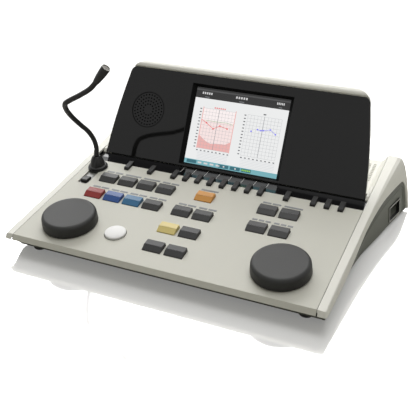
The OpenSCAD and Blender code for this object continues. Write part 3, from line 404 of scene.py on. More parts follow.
def finishNode(nodeName, edge, segments=2, seam=0.0, lidShell=False):
    # the node's own shape, with its sharp edges rounded as a mould leaves them
    piece = bpy.data.objects.new(nodeName + "_moulding", nodes[nodeName].data.copy())
    bpy.context.scene.collection.objects.link(piece)
    edit(piece)
    bpy.ops.mesh.remove_doubles(threshold=mouldFinish["weld"])
    bpy.ops.mesh.dissolve_limited(angle_limit=radians(mouldFinish["flat"]))
    if seam:
        half = console["plateHalf"]
        pick(piece, "VERT", lambda v: abs(v.co.x) > (half - mouldFinish["seamBand"]) * mm)
        bpy.ops.transform.resize(value=(1 - seam / half, 1, 1), center_override=(0, 0, 0))
    if nodeName.startswith("cheek"):
        squareCorner(piece)
    if lidShell:
        roundCrest(piece)
        # a cut along the lid's foot, where its colour changes
        bpy.ops.mesh.select_all(action="SELECT")
        bpy.ops.mesh.bisect(plane_co=lidMatrix @ Vector((0, lid["foot"] * mm, 0)),
                            plane_no=lidMatrix.to_3x3() @ Vector((0, 1, 0)))
    bpy.ops.object.mode_set(mode="OBJECT")
    if edge:
        applyModifier(piece, "BEVEL", width=edge * mm, segments=segments, limit_method="ANGLE",
                      angle_limit=radians(mouldFinish["limit"]), use_clamp_overlap=True,
                      miter_outer="MITER_SHARP")
    smoothFaces(piece, mouldFinish["smooth"])
    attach(piece, nodeBody[nodeName])
    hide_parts(nodeName)
    return piece


vents = {"columns": (152.6, 158.6), "from": 238, "step": 3.6, "count": 11, "wide": 3.4, "tall": 1.7,
         "depth": 15}


def cutVents():
    # two short columns of air slots through the deck, beside the right cheek
    deck = bpy.data.objects["rear_deck_moulding"]
    cutters = []
    half = vents["wide"] / 2
    for u in vents["columns"]:
        for i in range(vents["count"]):
            v = vents["from"] + i * vents["step"]
            cutters.append(cuboid((u - half, v, -vents["depth"]), (u + half, v + vents["tall"], 0)))
    activate(cutters[0])
    for cutter in cutters:
        cutter.select_set(True)
    bpy.ops.object.join()
    cutters[0].matrix_world = panelMatrix @ Matrix.Scale(mm, 4)
    activate(cutters[0])
    bpy.ops.object.transform_apply(location=True, rotation=True, scale=True)
    applyModifier(deck, "BOOLEAN", operation="DIFFERENCE", object=cutters[0], solver="EXACT")
    dropMaster(cutters[0])
    smoothFaces(deck, mouldFinish["smooth"])


mouldings = {
    "faceplate": {"edge": 0.2, "seam": 0.3}, "function_strip": {"edge": 0.15},
    "rear_deck": {"edge": 0.5}, "lower_case": {"edge": 0.2},
    "cheek_left": {"edge": 0.25}, "cheek_right": {"edge": 0.25},
    "display_back_shell": {"edge": 0.9, "segments": 3, "lidShell": True},
    "display_front_bezel": {"edge": 0.3}, "speaker": {"edge": 0.0},
    "connector_panel": {"edge": 0.2}, "jack_sockets": {"edge": 0.15},
    "mains_inlet": {"edge": 0.3}, "mains_switch": {"edge": 0.3}, "mic_latch": {"edge": 0.4},
    "mic_socket": {"edge": 0.3}, "feet": {"edge": 0.3}, "pins_and_screws": {"edge": 0.15}}
for nodeName, spec in mouldings.items():
    finishNode(nodeName, **spec)
cutVents()


def paintFaces(pieceName, finish, frameMatrix, test):
    # a second finish on the faces that pass the test, which gets middle and normal in the given frame
    piece = bpy.data.objects[pieceName]
    piece.data.materials.append(finishes[finish])
    index = len(piece.data.materials) - 1
    back = frameMatrix.inverted()
    for face in piece.data.polygons:
        if test(back @ face.center / mm, back.to_3x3() @ face.normal):
            face.material_index = index


windowFrame = {"u": 68, "low": 0, "high": 104, "below": -0.2}
lugs = {"y": 199, "z": 48, "reach": 9}
ports = {"x": 165, "y": 239, "z": 15.5, "halfY": 17, "halfZ": 9.9, "facing": 0.9, "wall": 0.7}
troughShade = {"front": 196, "back": 220, "below": 45}
grilleHoleShade = {"below": -0.5}


def atPort(p):
    return abs(p.y - ports["y"]) < ports["halfY"] and abs(p.z - ports["z"]) < ports["halfZ"]


def paintDetails():
    paintFaces("display_back_shell_moulding", "black", lidMatrix, lambda p, n: p.y < lid["foot"])
    paintFaces("display_front_bezel_moulding", "frame", lidMatrix,
               lambda p, n: abs(p.x) < windowFrame["u"] and p.z < windowFrame["below"]
               and windowFrame["low"] < p.y < windowFrame["high"])
    # the grille's hole walls and the speaker behind them are painted matt black: painted shade in the holes
    paintFaces("speaker_moulding", "frame", lidMatrix, lambda p, n: p.z < grilleHoleShade["below"])
    # the deck's front and the trough floor under the lid are painted black: painted shade between strip and
    # lid
    paintFaces("rear_deck_moulding", "black", frontMatrix,
               lambda p, n: p.y < troughShade["front"] or p.y < troughShade["back"] and p.z < troughShade["below"])
    paintFaces("pins_and_screws_moulding", "black", frontMatrix,
               lambda p, n: hypot(p.y - lugs["y"], p.z - lugs["z"]) < lugs["reach"])
    # the side port's inner walls are painted black: painted shade inside the hole
    paintFaces("lower_case_moulding", "black", frontMatrix,
               lambda p, n: abs(p.x) > ports["x"] and abs(n.x) < ports["wall"] and atPort(p))
    # the outward faces of the port's frame are painted pale: painted highlight on its edges
    paintFaces("lower_case_moulding", "rim", frontMatrix,
               lambda p, n: p.x * n.x > ports["facing"] * ports["x"] and atPort(p))


paintDetails()
print("mouldings finished:", len(mouldings))


# keys

largeKey = {"width": 21, "depth": 15, "height": 3.8, "front": 6.6, "toe": 0.8, "skirt": -5.0,
            "corner": 0.8, "edge": 0.5}
functionKey = {"width": 5.9, "depth": 16, "height": 3.3, "front": 1.6, "toe": 2.1, "skirt": -2.9,
               "corner": 0.8, "edge": 0.4}


def modelKeyCap(spec):
    cap = cuboid((0, 0, spec["skirt"]), (spec["width"], spec["depth"], spec["height"]))
    edit(cap)
    bpy.ops.mesh.bisect(plane_co=(0, spec["front"], 0), plane_no=(0, 1, 0))
    pick(cap, "VERT", lambda v: v.co.y < 0.1 and v.co.z > 0)
    bpy.ops.transform.translate(value=(0, 0, spec["toe"] - spec["height"]))
    pick(cap, "EDGE", lambda e: upright(e) and min(v.co.z for v in e.verts) < -1)
    bpy.ops.mesh.bevel(offset=spec["corner"], segments=3, affect="EDGES")
    pick(cap, "EDGE", lambda e: middle(e).z > 0 and not upright(e) and e.calc_face_angle(0) > radians(15))
    bpy.ops.mesh.bevel(offset=spec["edge"], segments=3, affect="EDGES")
    bpy.ops.object.mode_set(mode="OBJECT")
    return cap


def placeKeys():
    large = modelKeyCap(largeKey)
    slim = modelKeyCap(functionKey)
    for nodeName in nodes:
        isLarge = nodeName.startswith("key_") and nodeName != "key_board"
        if not isLarge and not nodeName.startswith("function_key_"):
            continue
        spec = largeKey if isLarge else functionKey
        cap = copyOf(large if isLarge else slim)
        # the key's corner on the panel, from the node's own place
        corners = [panelMatrix.inverted() @ v.co / mm for v in nodes[nodeName].data.vertices]
        u = (min(c.x for c in corners) + max(c.x for c in corners) - spec["width"]) / 2
        v = max(c.y for c in corners if c.z > 0) - spec["depth"]
        place(cap, nodeName + "_cap", panelMatrix @ Matrix.Translation((u * mm, v * mm, 0)), None,
              nodeName, nodeSlot[nodeName], [nodeName])
        cap.data.materials.append(finishOf(nodeName))
    dropMaster(large)
    dropMaster(slim)


placeKeys()
print("keys placed")


# dials and tone button

dial = {"radius": 30.7, "height": 13.3, "round": 4.2, "draft": 0.5, "u": 122.5, "v": 39.4, "lift": 0.5,
        "dish": 0.25, "hollow": 0.4,
        "foot": [(-3.4, 0.4), (-3, 0), (-0.9, 0), (-0.3, 0.25), (0, 0.9), (-0.15, 4), (-0.35, 7)]}


def makeDials():
    radius, high, bend = dial["radius"], dial["height"], dial["round"]
    shoulder = radius - dial["draft"] - bend
    profile = [(0, dial["hollow"])]
    profile += [(radius + out, z) for out, z in dial["foot"]]
    profile += [(shoulder + bend * cos(radians(a)), high - bend + bend * sin(radians(a)))
                for a in range(0, 91, 9)]
    # the top sinks a little towards its middle
    profile += [(shoulder - 3, high - 0.03), (shoulder * 0.6, high - dial["dish"] * 0.7),
                (0, high - dial["dish"])]
    for side, name in ((-1, "dial_left"), (1, "dial_right")):
        knob = lathe(profile, 120)
        spot = Matrix.Translation((side * dial["u"] * mm, dial["v"] * mm, dial["lift"] * mm))
        place(knob, name + "_knob", panelMatrix @ spot, "dial", name, "soft_touch", [name], 50)


makeDials()

toneButton = {"radius": 11.8, "crown": 3, "rise": 0.9, "skirt": -5, "u": -64.9, "v": 38.6,
              "rim": [(0, -0.7), (-0.12, -0.3), (-0.45, 0)]}


def makeToneButton():
    radius, crown, rise = toneButton["radius"], toneButton["crown"], toneButton["rise"]
    edge = crown - rise
    profile = [(0, toneButton["skirt"]), (radius, toneButton["skirt"])]
    profile += [(radius + out, edge + z) for out, z in toneButton["rim"]]
    dome = profile[-1][0]
    profile += [(dome * cos(radians(a)), edge + rise * sin(radians(a))) for a in range(10, 90, 10)]
    profile += [(0, crown)]
    button = lathe(profile, 72)
    spot = Matrix.Translation((toneButton["u"] * mm, toneButton["v"] * mm, 0))
    place(button, "tone_button_cap", panelMatrix @ spot, "white", "tone_button", "white_plastic",
          ["tone_button"], 50)


makeToneButton()
print("dials and tone button placed")


# microphone

plug = {"u": -153.9, "v": 149.8, "seat": 1.7, "foot": 11.2, "height": 14.5,
        "collar": [(-0.3, 0), (0, 0.3), (0, 1.3), (-0.5, 2), (-1.7, 2.3)],
        "bell": [(8.9, 2.5), (8.75, 3.4), (8.5, 5), (8.05, 7), (7.4, 9), (6.5, 11), (5.6, 12.7),
                 (4.9, 13.8), (4.3, 14.4)],
        "flutes": 4, "fluteDepth": 1.5, "fluteFrom": 2.6, "fluteRun": 8}
gooseneck = {"radius": 2.95, "ridge": 0.16, "pitch": 1.15, "sides": 20,
             "route": [(0, 0, 0), (0.3, 1.2, 9.5), (-2.1, 1.2, 20), (-5.6, -3.8, 32), (-9.1, -13.3, 43.5),
                       (-9.1, -28.3, 58.5), (-3.6, -45.3, 74), (4.9, -58.5, 86.5), (13.9, -61.3, 93.1),
                       (26.3, -60.3, 100.1), (39.2, -59.3, 108.5), (46.3, -58.3, 115.9)]}
capsule = {"radius": 5.0, "length": 22.4, "offset": 0.4, "aim": (13.6, 2, 17.6)}
plugTop = Vector((plug["u"], plug["v"], plug["height"] + plug["seat"]))
plugTop = panelMatrix @ (plugTop * mm) / mm


def makePlug():
    foot, high, neck = plug["foot"], plug["height"], gooseneck["radius"]
    # a bevelled collar, then a bell that narrows to the crown
    profile = [(0, 0)] + [(foot + out, z) for out, z in plug["collar"]]
    profile += plug["bell"]
    profile += [(neck + 0.6, high), (neck + 0.4, high - 1), (0, high - 1)]
    bell = lathe(profile, 144)
    for vertex in bell.data.vertices:
        # flutes, deepest at the crown, fade into the bell
        x, y, z = vertex.co
        radius = hypot(x, y)
        if radius < neck + 0.8 or z < plug["fluteFrom"]:
            continue
        wave = max(0, cos(plug["flutes"] * atan2(y, x))) ** 3
        depth = plug["fluteDepth"] * wave * min(1, (z - plug["fluteFrom"]) / plug["fluteRun"])
        vertex.co.x -= x / radius * depth
        vertex.co.y -= y / radius * depth
    spot = Matrix.Translation([plug[k] * mm for k in ("u", "v", "seat")])
    place(bell, "mic_plug_bell", panelMatrix @ spot, "black", "microphone", "black_plastic", ["mic_plug"],
          60)


makePlug()


def splinePoint(points, i, t):
    a, b = points[max(i - 1, 0)], points[i]
    c, d = points[i + 1], points[min(i + 2, len(points) - 1)]
    return (b * 2 + (c - a) * t + (a * 2 - b * 5 + c * 4 - d) * t * t + (b * 3 - a - c * 3 + d) * t ** 3) / 2


def walkRoute(step):
    # points along the neck, a fixed step apart
    points = [plugTop + Vector(p) for p in gooseneck["route"]]
    fine = [splinePoint(points, i, t / 24) for i in range(len(points) - 1) for t in range(24)]
    fine.append(points[-1])
    walked = [fine[0]]
    left = step
    for here, there in zip(fine, fine[1:]):
        run = (there - here).length
        while left <= run:
            walked.append(here.lerp(there, left / run))
            left += step
        left -= run
    return walked


def makeGooseneck():
    # a round tube of close turns: each turn swells between two narrow rings
    sides = gooseneck["sides"]
    path = walkRoute(gooseneck["pitch"] / 4)
    mesh = bmesh.new()
    rings = []
    normal = Vector((1, 0, 0))
    for i, point in enumerate(path):
        ahead = (path[min(i + 1, len(path) - 1)] - path[max(i - 1, 0)]).normalized()
        normal = (normal - ahead * normal.dot(ahead)).normalized()
        across = ahead.cross(normal)
        radius = gooseneck["radius"] - gooseneck["ridge"] * (1 - sin(pi / 4 * (i % 4)))
        spokes = [normal * cos(2 * pi * k / sides) + across * sin(2 * pi * k / sides) for k in range(sides)]
        rings.append([mesh.verts.new(point + radius * spoke) for spoke in spokes])
    for low, high in zip(rings, rings[1:]):
        for k in range(sides):
            mesh.faces.new((low[k], low[(k + 1) % sides], high[(k + 1) % sides], high[k]))
    mesh.faces.new(list(reversed(rings[0])))
    mesh.faces.new(rings[-1])
    data = bpy.data.meshes.new("gooseneck_turns")
    mesh.to_mesh(data)
    mesh.free()
    neck = bpy.data.objects.new("gooseneck_turns", data)
    bpy.context.scene.collection.objects.link(neck)
    place(neck, "gooseneck_turns", Matrix.Identity(4), "matBlack", "microphone", "black_plastic",
          ["gooseneck"], 60)


makeGooseneck()


def makeCapsule():
    neck, radius, length = gooseneck["radius"], capsule["radius"], capsule["length"]
    body = [(0, 0), (neck + 0.25, 0), (neck + 0.35, 0.5)]
    body += [(neck + 0.5 + (radius - neck - 0.5) * sin(pi / 2 * i / 12), 0.8 + (length - 3.4) * i / 12)
             for i in range(1, 13)]
    body += [(radius, length - 1), (radius - 0.15, length - 0.6), (radius - 0.7, length - 0.6),
             (radius - 0.8, length - 1.2), (0, length - 1.2)]
    aim = Vector(capsule["aim"]).normalized()
    spot = Matrix.Translation((plugTop + Vector(gooseneck["route"][-1]) + aim * capsule["offset"]) * mm)
    spot = spot @ aim.to_track_quat("Z", "Y").to_matrix().to_4x4()
    place(lathe(body, 64), "mic_capsule_body", spot, "black", "microphone", "black_plastic",
          ["mic_capsule"], 40)
    rim = [(radius - 0.7, length - 1.3), (radius - 0.15, length - 0.7), (radius - 0.1, length - 0.35),
           (radius - 0.3, length - 0.1), (radius - 0.75, length - 0.15), (radius - 0.95, length - 0.6),
           (radius - 0.95, length - 1.3), (radius - 0.7, length - 1.3)]
    place(lathe(rim, 64), "mic_capsule_rim", spot, "rim", "microphone", "grille_metal",
          ["mic_capsule"], 40)
    mesh = lathe([(0, length - 1.4), (radius - 0.9, length - 1.4), (radius - 0.9, length - 0.7),
                  (0, length - 0.62)], 48)
    place(mesh, "mic_capsule_mesh", spot, "capsule", "microphone", "grille_metal", ["mic_capsule"], 40)


makeCapsule()
print("microphone placed")


# small parts: recess liner, seam shade strips, hinge covers, rings, lenses and strip marks

recess = {"u": plug["u"], "from": 112.5, "to": 141, "width": 13.3, "corner": 2.9, "low": -1.8, "high": -1.76}


def makeRecessLiner():
    half = recess["width"] / 2
    liner = cuboid((-half, recess["from"] + 0.1, recess["low"]), (half, recess["to"], recess["high"]))
    edit(liner)
    pick(liner, "EDGE", lambda e: upright(e) and middle(e).y < recess["from"] + 1)
    bpy.ops.mesh.bevel(offset=recess["corner"], segments=6, affect="EDGES")
    bpy.ops.object.mode_set(mode="OBJECT")
    place(liner, "mic_recess_liner", panelMatrix @ Matrix.Translation((recess["u"] * mm, 0, 0)), "liner",
          "console", "bar_plastic")


makeRecessLiner()

# the seam strips are painted shade: matt black laid into the joint's gap
seam = {"x": 171.6, "half": 0.32, "sink": 0.12, "depth": 1.2, "length": 165, "lipOut": 2.58, "lipDrop": 6}


def slab(profile, x0, x1):
    # a closed (y, z) outline drawn out along x
    mesh = bpy.data.meshes.new("outline")
    count = len(profile)
    mesh.from_pydata([(x0, y, z) for y, z in profile], [], [tuple(range(count))])
    piece = bpy.data.objects.new("outline", mesh)
    bpy.context.scene.collection.objects.link(piece)
    edit(piece)
    bpy.ops.mesh.extrude_region_move(TRANSFORM_OT_translate={"value": (x1 - x0, 0, 0)})
    bpy.ops.mesh.select_all(action="SELECT")
    bpy.ops.mesh.normals_make_consistent(inside=False)
    bpy.ops.object.mode_set(mode="OBJECT")
    return piece


def makeSeamShadeStrips():
    # a matt black strip in the joint between faceplate and cheeks, down the front lip too: painted shade of
    # the gap
    sink, depth, z0 = seam["sink"], seam["depth"], console["frontZ"]
    run, rise = seam["length"] * cos(slope), seam["length"] * sin(slope)
    outline = [(run, z0 + rise - sink), (sink, z0 - sink), (sink - seam["lipOut"], z0 - seam["lipDrop"]),
               (depth - seam["lipOut"], z0 - seam["lipDrop"]), (depth, z0 - depth), (run, z0 + rise - depth)]
    for side, name in ((-1, "seam_left"), (1, "seam_right")):
        x = side * seam["x"]
        place(slab(outline, x - seam["half"], x + seam["half"]), name, frontMatrix, "frame", "console",
              "black_plastic", smooth=20)


makeSeamShadeStrips()

hingeCover = {"inner": 167.4, "outer": 171.1, "from": 188.9, "to": 214, "sink": 0.3, "drop": 7,
              "nose": 3, "edge": 0.6}


def makeHingeCovers():
    # the end of the hinge trough, between the lid and the cheek
    top = console["frontZ"] - hingeCover["sink"]
    y0, y1, nose, drop = (hingeCover[k] for k in ("from", "to", "nose", "drop"))
    outline = [(y0, top + y0 * tan(slope) - drop), (y0, top + y0 * tan(slope) - nose),
               (y0 + nose, top + (y0 + nose) * tan(slope)), (y1, top + y1 * tan(slope)),
               (y1, top + y1 * tan(slope) - drop)]
    for side, name in ((-1, "hinge_cover_left"), (1, "hinge_cover_right")):
        cover = slab(outline, side * hingeCover["inner"], side * hingeCover["outer"])
        applyModifier(cover, "BEVEL", width=hingeCover["edge"], segments=3)
        place(cover, name, frontMatrix, "light", "console", "light_plastic")


makeHingeCovers()

ring = {"lift": 0.04, "sink": -0.3}


def makeRing(name, inner, outer, matrix, finish, body, slotName):
    profile = [(inner, ring["sink"]), (outer, ring["sink"]), (outer, ring["lift"]), (inner, ring["lift"]),
               (inner, ring["sink"])]
    place(lathe(profile, 96), name, matrix, finish, body, slotName)


# a matt black ring over the gap round the tone button: painted shade of the gap
buttonGapShade = {"inner": 11.75, "outer": 12.35}
makeRing("tone_button_gap", buttonGapShade["inner"], buttonGapShade["outer"],
         panelMatrix @ Matrix.Translation((toneButton["u"] * mm, toneButton["v"] * mm, 0)),
         "frame", "console", "black_plastic")

grille = {"u": -119, "s": 60.8, "inner": 21.3, "outer": 22.3}
makeRing("grille_edge", grille["inner"], grille["outer"],
         lidMatrix @ Matrix.Translation((grille["u"] * mm, grille["s"] * mm, 0)),
         "frame", "display", "gloss_black")

barCap = {"grow": 0.1, "top": 0.35, "bottom": -0.6, "edge": 0.15}


def makeBarCaps():
    # each light guide ends in a small lens that stands just proud of the panel
    lenses = bpy.data.objects.new("bars", nodes["indicator_bars"].data.copy())
    bpy.context.scene.collection.objects.link(lenses)
    edit(lenses)
    bpy.ops.mesh.remove_doubles(threshold=mouldFinish["weld"])
    bpy.ops.mesh.separate(type="LOOSE")
    bpy.ops.object.mode_set(mode="OBJECT")
    caps = []
    for bar in list(bpy.context.selected_objects):
        corners = [panelMatrix.inverted() @ v.co / mm for v in bar.data.vertices]
        low = (min(c.x for c in corners) - barCap["grow"], min(c.y for c in corners), barCap["bottom"])
        high = (max(c.x for c in corners) + barCap["grow"], max(c.y for c in corners), barCap["top"])
        dropMaster(bar)
        caps.append(cuboid(low, high))
    activate(caps[0])
    for cap in caps:
        cap.select_set(True)
    bpy.ops.object.join()
    applyModifier(caps[0], "BEVEL", width=barCap["edge"], segments=2)
    place(caps[0], "indicator_bar_lenses", panelMatrix, "bars", "console", "bar_plastic",
          ["indicator_bars"], 20)


makeBarCaps()

stripMarks = {"first": 4, "last": 11, "from": 0.4, "to": 0.96, "width": 0.42, "lift": 0.06, "cuts": 6}
functionRow = {"u": -120.5, "pitch": 15.65, "width": 5.9}
strip = {"y0": 165.3 * cos(slope) + 0.3, "y1": lid["y"] - 0.9, "z1": lid["z"] - 1.2, "sag": 0.6}


def stripHeight(t):
    z0 = console["frontZ"] + strip["y0"] * tan(slope)
    return z0 + (strip["z1"] - z0) * (1 - (1 - t) ** 2) - strip["sag"] * sin(pi * t)


def makeStripMarks():
    # printed dashes that follow the strip's curve
    start, end, cuts = stripMarks["from"], stripMarks["to"], stripMarks["cuts"]
    stops = [start + (end - start) * i / cuts for i in range(cuts + 1)]
    half = stripMarks["width"] / 2
    for index in range(stripMarks["first"], stripMarks["last"] + 1):
        u = functionRow["u"] + index * functionRow["pitch"] + functionRow["width"] / 2
        dash = cuboid((u - half, 0, -0.1), (u + half, 1, 0))
        edit(dash)
        bpy.ops.mesh.select_mode(type="EDGE")
        for stop in range(1, cuts):
            bpy.ops.mesh.select_all(action="SELECT")
            bpy.ops.mesh.bisect(plane_co=(0, stop / cuts, 0), plane_no=(0, 1, 0))
        bpy.ops.object.mode_set(mode="OBJECT")
        for vertex in dash.data.vertices:
            t = stops[round(vertex.co.y * cuts)]
            lift = stripMarks["lift"] if vertex.co.z > -0.05 else -0.04
            vertex.co.z = stripHeight(t) + lift
            vertex.co.y = strip["y0"] + (strip["y1"] - strip["y0"]) * t
        place(dash, "strip_mark_%d" % index, frontMatrix, "tick", "console", "white_plastic")


makeStripMarks()
print("small parts placed")


# display image

image = {"depth": -5.08, "thick": 0.03, "left": -60.1, "right": 60.1, "low": 4.7, "high": 98.2,
         "cells": 10.4, "header": 85.6, "sheen": (94.6, 96.4)}
headings = {"places": ((-52, 14), (-8, 16), (44, 10)), "count": 5, "fill": 0.62, "low": 90.6, "high": 93.2}
leftGraph = {"u0": -47, "u1": -4.5, "s0": 25, "s1": 74, "change": 60, "cursor": -26.1,
             "area": [(-47, 41), (-42, 37.5), (-37, 34.5), (-30, 32), (-22, 33.2), (-16, 33.8), (-11, 34),
                      (-4.5, 38)],
             "curve": [(-47, 60), (-40, 56.5), (-30, 50.5), (-22, 55), (-12, 53)],
             "norm": [(-41, 59.5), (-34, 59.5), (-27, 59.3), (-14, 60), (-6, 58.5)]}
rightGraph = {"u0": 11, "u1": 54, "s0": 25, "s1": 74, "cursor": 32,
              "curve": [(26, 58), (29, 57.5), (34, 58), (42, 60), (49, 55.5)],
              "points": [(18.5, 55), (26, 58), (30.5, 57.5), (33.5, 58), (42, 60), (49, 55.5)]}
grid = {"columns": 10, "rows": 12, "half": 0.12}
ticks = {"rows": 13, "columns": 9, "far": 4.4, "near": 2, "halfTall": 0.6, "halfWide": 1.1, "below": 3.2}
notes = {"places": ((-45, -5), (12, 55)), "count": 6, "from": 11.6, "step": 1.8, "tall": 0.5}
softKeys = [
    (-57, 5.6, -44, 9.6, "darkTeal", 2), (-15, 5.6, -1.5, 9.6, "darkTeal", 2),
    (0.5, 5.6, 13.5, 9.6, "darkTeal", 2), (15, 5.6, 27.5, 9.6, "darkTeal", 2),
    (15.8, 6.8, 17.4, 8.6, "greenMark", 3), (18.1, 6.8, 19.7, 8.6, "greenMark", 3),
    (20.4, 6.8, 22, 8.6, "greenMark", 3), (22.7, 6.8, 24.3, 8.6, "greenMark", 3),
    (25, 6.8, 26.6, 8.6, "greenMark", 3), (-42, 6.6, -37, 8.6, "mark", 2),
    (-34, 6.6, -29, 8.6, "mark", 2), (-26, 6.6, -21, 8.6, "mark", 2), (-18, 6.6, -13, 8.6, "mark", 2),
    (-8.6, 6.8, -6.6, 8.4, "mark", 3), (6.4, 6.8, 8.4, 8.4, "mark", 3),
    (30, 5.8, 43, 9.4, "teal", 2), (45, 5.8, 58, 9.4, "teal", 2)]
imageParts = []


def tile(u0, s0, u1, s1, finish, level):
    low = image["depth"] + level * image["thick"]
    part = cuboid((u0, s0, low), (u1, s1, low + image["thick"] * 0.9))
    part.data.materials.append(finishes[finish])
    imageParts.append(part)
    return part


def stroke(points, width, finish, level):
    # a drawn line: one slim bar for each stretch, turned to its direction
    for (u0, s0), (u1, s1) in zip(points, points[1:]):
        run = hypot(u1 - u0, s1 - s0)
        part = tile(-width / 2, -width / 2, run + width / 2, width / 2, finish, level)
        turn = Matrix.Rotation(atan2(s1 - s0, u1 - u0), 4, "Z")
        part.matrix_world = Matrix.Translation((u0, s0, 0)) @ turn
        activate(part)
        bpy.ops.object.transform_apply(location=True, rotation=True, scale=True)


def fillBelow(points, base, finish, level):
    # the area under a curve: a bar cut at each point, its top edge lifted to the curve
    u0, u1 = points[0][0], points[-1][0]
    part = tile(u0, base, u1, base + 1, finish, level)
    edit(part)
    for u, s in points[1:-1]:
        bpy.ops.mesh.select_all(action="SELECT")
        bpy.ops.mesh.bisect(plane_co=(u, 0, 0), plane_no=(1, 0, 0))
    bpy.ops.object.mode_set(mode="OBJECT")
    for vertex in part.data.vertices:
        if vertex.co.y > base + 0.5:
            vertex.co.y = min(points, key=lambda p: abs(p[0] - vertex.co.x))[1]


def drawGrid(graph, finish, level):
    wide, tall = graph["u1"] - graph["u0"], graph["s1"] - graph["s0"]
    half = grid["half"]
    for i in range(grid["columns"] + 1):
        u = graph["u0"] + wide * i / grid["columns"]
        tile(u - half, graph["s0"], u + half, graph["s1"], finish, level)
    for i in range(grid["rows"] + 1):
        s = graph["s0"] + tall * i / grid["rows"]
        tile(graph["u0"], s - half, graph["u1"], s + half, finish, level)


def drawAxis(graph):
    rows, columns = ticks["rows"], ticks["columns"]
    for i in range(rows):
        s = graph["s0"] + (graph["s1"] - graph["s0"]) * (i + 0.3) / (rows - 0.4)
        tile(graph["u0"] - ticks["far"], s - ticks["halfTall"], graph["u0"] - ticks["near"],
             s + ticks["halfTall"], "ink", 2)
    for i in range(columns):
        u = graph["u0"] + 1 + (graph["u1"] - graph["u0"] - 2) * i / (columns - 1)
        tile(u - ticks["halfWide"], graph["s0"] - ticks["below"], u + ticks["halfWide"],
             graph["s0"] - ticks["near"], "ink", 2)


def drawPoints(points, finish, level):
    for u, s in points:
        tile(u - 0.9, s - 0.9, u + 0.9, s + 0.9, finish, level)


def drawCursor(graph, level):
    tile(graph["cursor"] - 0.2, graph["s0"], graph["cursor"] + 0.2, graph["s1"], "darkLine", level)


def drawLeftGraph():
    g = leftGraph
    tile(g["u0"], g["s0"], g["u1"], g["change"], "pink", 2)
    tile(g["u0"], g["change"], g["u1"], g["s1"], "palePink", 2)
    fillBelow(g["area"], g["s0"], "rose", 3)
    drawGrid(g, "line", 4)
    drawCursor(g, 5)
    for u in (g["u0"], g["u1"]):
        stroke([(u, g["s0"]), (u, g["s1"] + 1)], 1.0, "rose", 5)
    stroke(g["curve"], 0.6, "red", 6)
    drawPoints(g["curve"][1:], "red", 7)
    stroke(g["norm"], 0.5, "green", 6)
    for i in range(6):
        tile(-33 + i * 2.6, 75, -31.4 + i * 2.6, 76.6, "red", 2)
    drawAxis(g)


def drawRightGraph():
    g = rightGraph
    drawGrid(g, "line", 2)
    drawCursor(g, 3)
    stroke(g["curve"], 0.55, "blueLine", 4)
    drawPoints(g["points"], "blueLine", 5)
    tile(30, 76, 33.5, 77.4, "ink", 2)
    drawAxis(g)


def makeDisplayImage():
    left, right, low, high = (image[k] for k in ("left", "right", "low", "high"))
    tile(left, low, right, image["cells"], "teal", 1)
    tile(left, image["cells"], right, image["header"], "page", 1)
    tile(left, image["header"], right, high, "bar", 1)
    tile(left, image["sheen"][0], right, image["sheen"][1], "barLight", 2)
    for u, wide in headings["places"]:
        for i in range(headings["count"]):
            tile(u + wide * i / headings["count"], headings["low"],
                 u + wide * (i + headings["fill"]) / headings["count"], headings["high"], "mark", 3)
        tile(u + wide * 0.3, 87, u + wide * 0.7, 87.8, "darkLine", 2)
    drawLeftGraph()
    drawRightGraph()
    # ruled notes under both graphs, and the soft-key cells
    for u0, u1 in notes["places"]:
        for i in range(notes["count"]):
            s = notes["from"] + i * notes["step"]
            tile(u0, s, u1, s + notes["tall"], "shade", 2)
    for cell in softKeys:
        tile(*cell)
    activate(imageParts[0])
    for part in imageParts:
        part.select_set(True)
    bpy.ops.object.join()
    place(imageParts[0], "display_image", lidMatrix, None, "display", "screen_glass", smooth=20)


makeDisplayImage()
print("display image placed")


# camera, light, floor

view = {"place": (0.3109, -0.68188, 0.4263), "yaw": 24.535, "pitch": 28.335, "roll": 0.41, "lens": 62.996}


def makeCamera():
    yaw, pitch, roll = (radians(view[k]) for k in ("yaw", "pitch", "roll"))
    forward = Vector((-sin(yaw) * cos(pitch), cos(yaw) * cos(pitch), -sin(pitch)))
    right = Vector((cos(yaw), sin(yaw), 0))
    up = right.cross(forward)
    rightRolled = cos(roll) * right - sin(roll) * up
    upRolled = cos(roll) * up + sin(roll) * right
    turn = Matrix((rightRolled, upRolled, -forward)).transposed().to_4x4()
    data = bpy.data.cameras.new("camera")
    data.lens = view["lens"]
    data.sensor_width = 36
    data.clip_start = 0.01
    camera = bpy.data.objects.new("camera", data)
    camera.matrix_world = Matrix.Translation(view["place"]) @ turn
    bpy.context.scene.collection.objects.link(camera)
    bpy.context.scene.camera = camera


makeCamera()

lights = {
    "back": {"place": (-0.8, 1.45, 1.25), "aim": (0, 0, 0.05), "size": (2.2, 1.2), "power": 34},
    "above": {"place": (0.1, 0.15, 1.75), "aim": (0, 0, 0.05), "size": (1.5, 1.1), "power": 14}}
sky = {"lit": (0.23, 0.225, 0.2), "seen": 1.0}


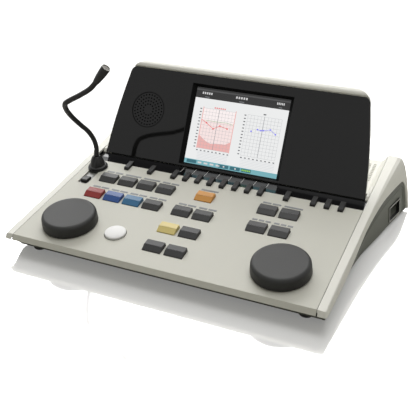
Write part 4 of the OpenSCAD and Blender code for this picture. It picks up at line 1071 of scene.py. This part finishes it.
def makeLights():
    for name, spec in lights.items():
        data = bpy.data.lights.new(name, "AREA")
        data.shape = "RECTANGLE"
        data.size, data.size_y = spec["size"]
        data.energy = spec["power"]
        lamp = bpy.data.objects.new(name, data)
        lamp.location = spec["place"]
        aim = Vector(spec["aim"]) - Vector(spec["place"])
        lamp.rotation_euler = aim.to_track_quat("-Z", "Y").to_euler()
        bpy.context.scene.collection.objects.link(lamp)


def seenRays(tree):
    # 1 for rays of the camera, of a reflection or through glass
    path = tree.nodes.new("ShaderNodeLightPath")
    shiny = mathNode(tree, "MAXIMUM", path.outputs["Is Glossy Ray"], path.outputs["Is Transmission Ray"])
    return mathNode(tree, "MAXIMUM", path.outputs["Is Camera Ray"], shiny)


def byRay(tree, seen, lit, level):
    # one colour for lighting rays, and a plain level for the rays that look straight at it
    color = tree.nodes.new("ShaderNodeCombineColor")
    for channel, value in zip(("Red", "Green", "Blue"), lit):
        tree.links.new(mathNode(tree, "MULTIPLY_ADD", seen, level - value, value), color.inputs[channel])
    return color.outputs["Color"]


def makeWorld():
    world = bpy.data.worlds.new("studio")
    world.use_nodes = True
    tree = world.node_tree
    background = tree.nodes["Background"]
    tree.links.new(byRay(tree, seenRays(tree), sky["lit"], sky["seen"]), background.inputs["Color"])
    bpy.context.scene.world = world


floorLook = {"size": 12, "lit": (0.8, 0.79, 0.74), "seen": 1.0, "mirror": 0.32, "lift": 0.2,
             "roughness": 0.07}


def makeFloor():
    activate(None)
    bpy.ops.mesh.primitive_plane_add(size=floorLook["size"], location=(0, 0, 0))
    floor = bpy.context.object
    floor.name = "floor"
    material = bpy.data.materials.new("paleFloor")
    material.use_nodes = True
    tree = material.node_tree
    shader = tree.nodes["Principled BSDF"]
    path = tree.nodes.new("ShaderNodeLightPath")
    seen = path.outputs["Is Camera Ray"]
    tree.links.new(byRay(tree, seen, floorLook["lit"], floorLook["seen"]), shader.inputs["Base Color"])
    tree.links.new(mathNode(tree, "MULTIPLY", seen, floorLook["mirror"]), shader.inputs["Metallic"])
    shader.inputs["Emission Color"].default_value = (1, 1, 1, 1)
    tree.links.new(mathNode(tree, "MULTIPLY", seen, floorLook["lift"]), shader.inputs["Emission Strength"])
    shader.inputs["Roughness"].default_value = floorLook["roughness"]
    floor.data.materials.append(material)


bpy.context.scene.view_settings.view_transform = "Standard"
makeLights()
makeWorld()
makeFloor()
print("camera, light and floor set")
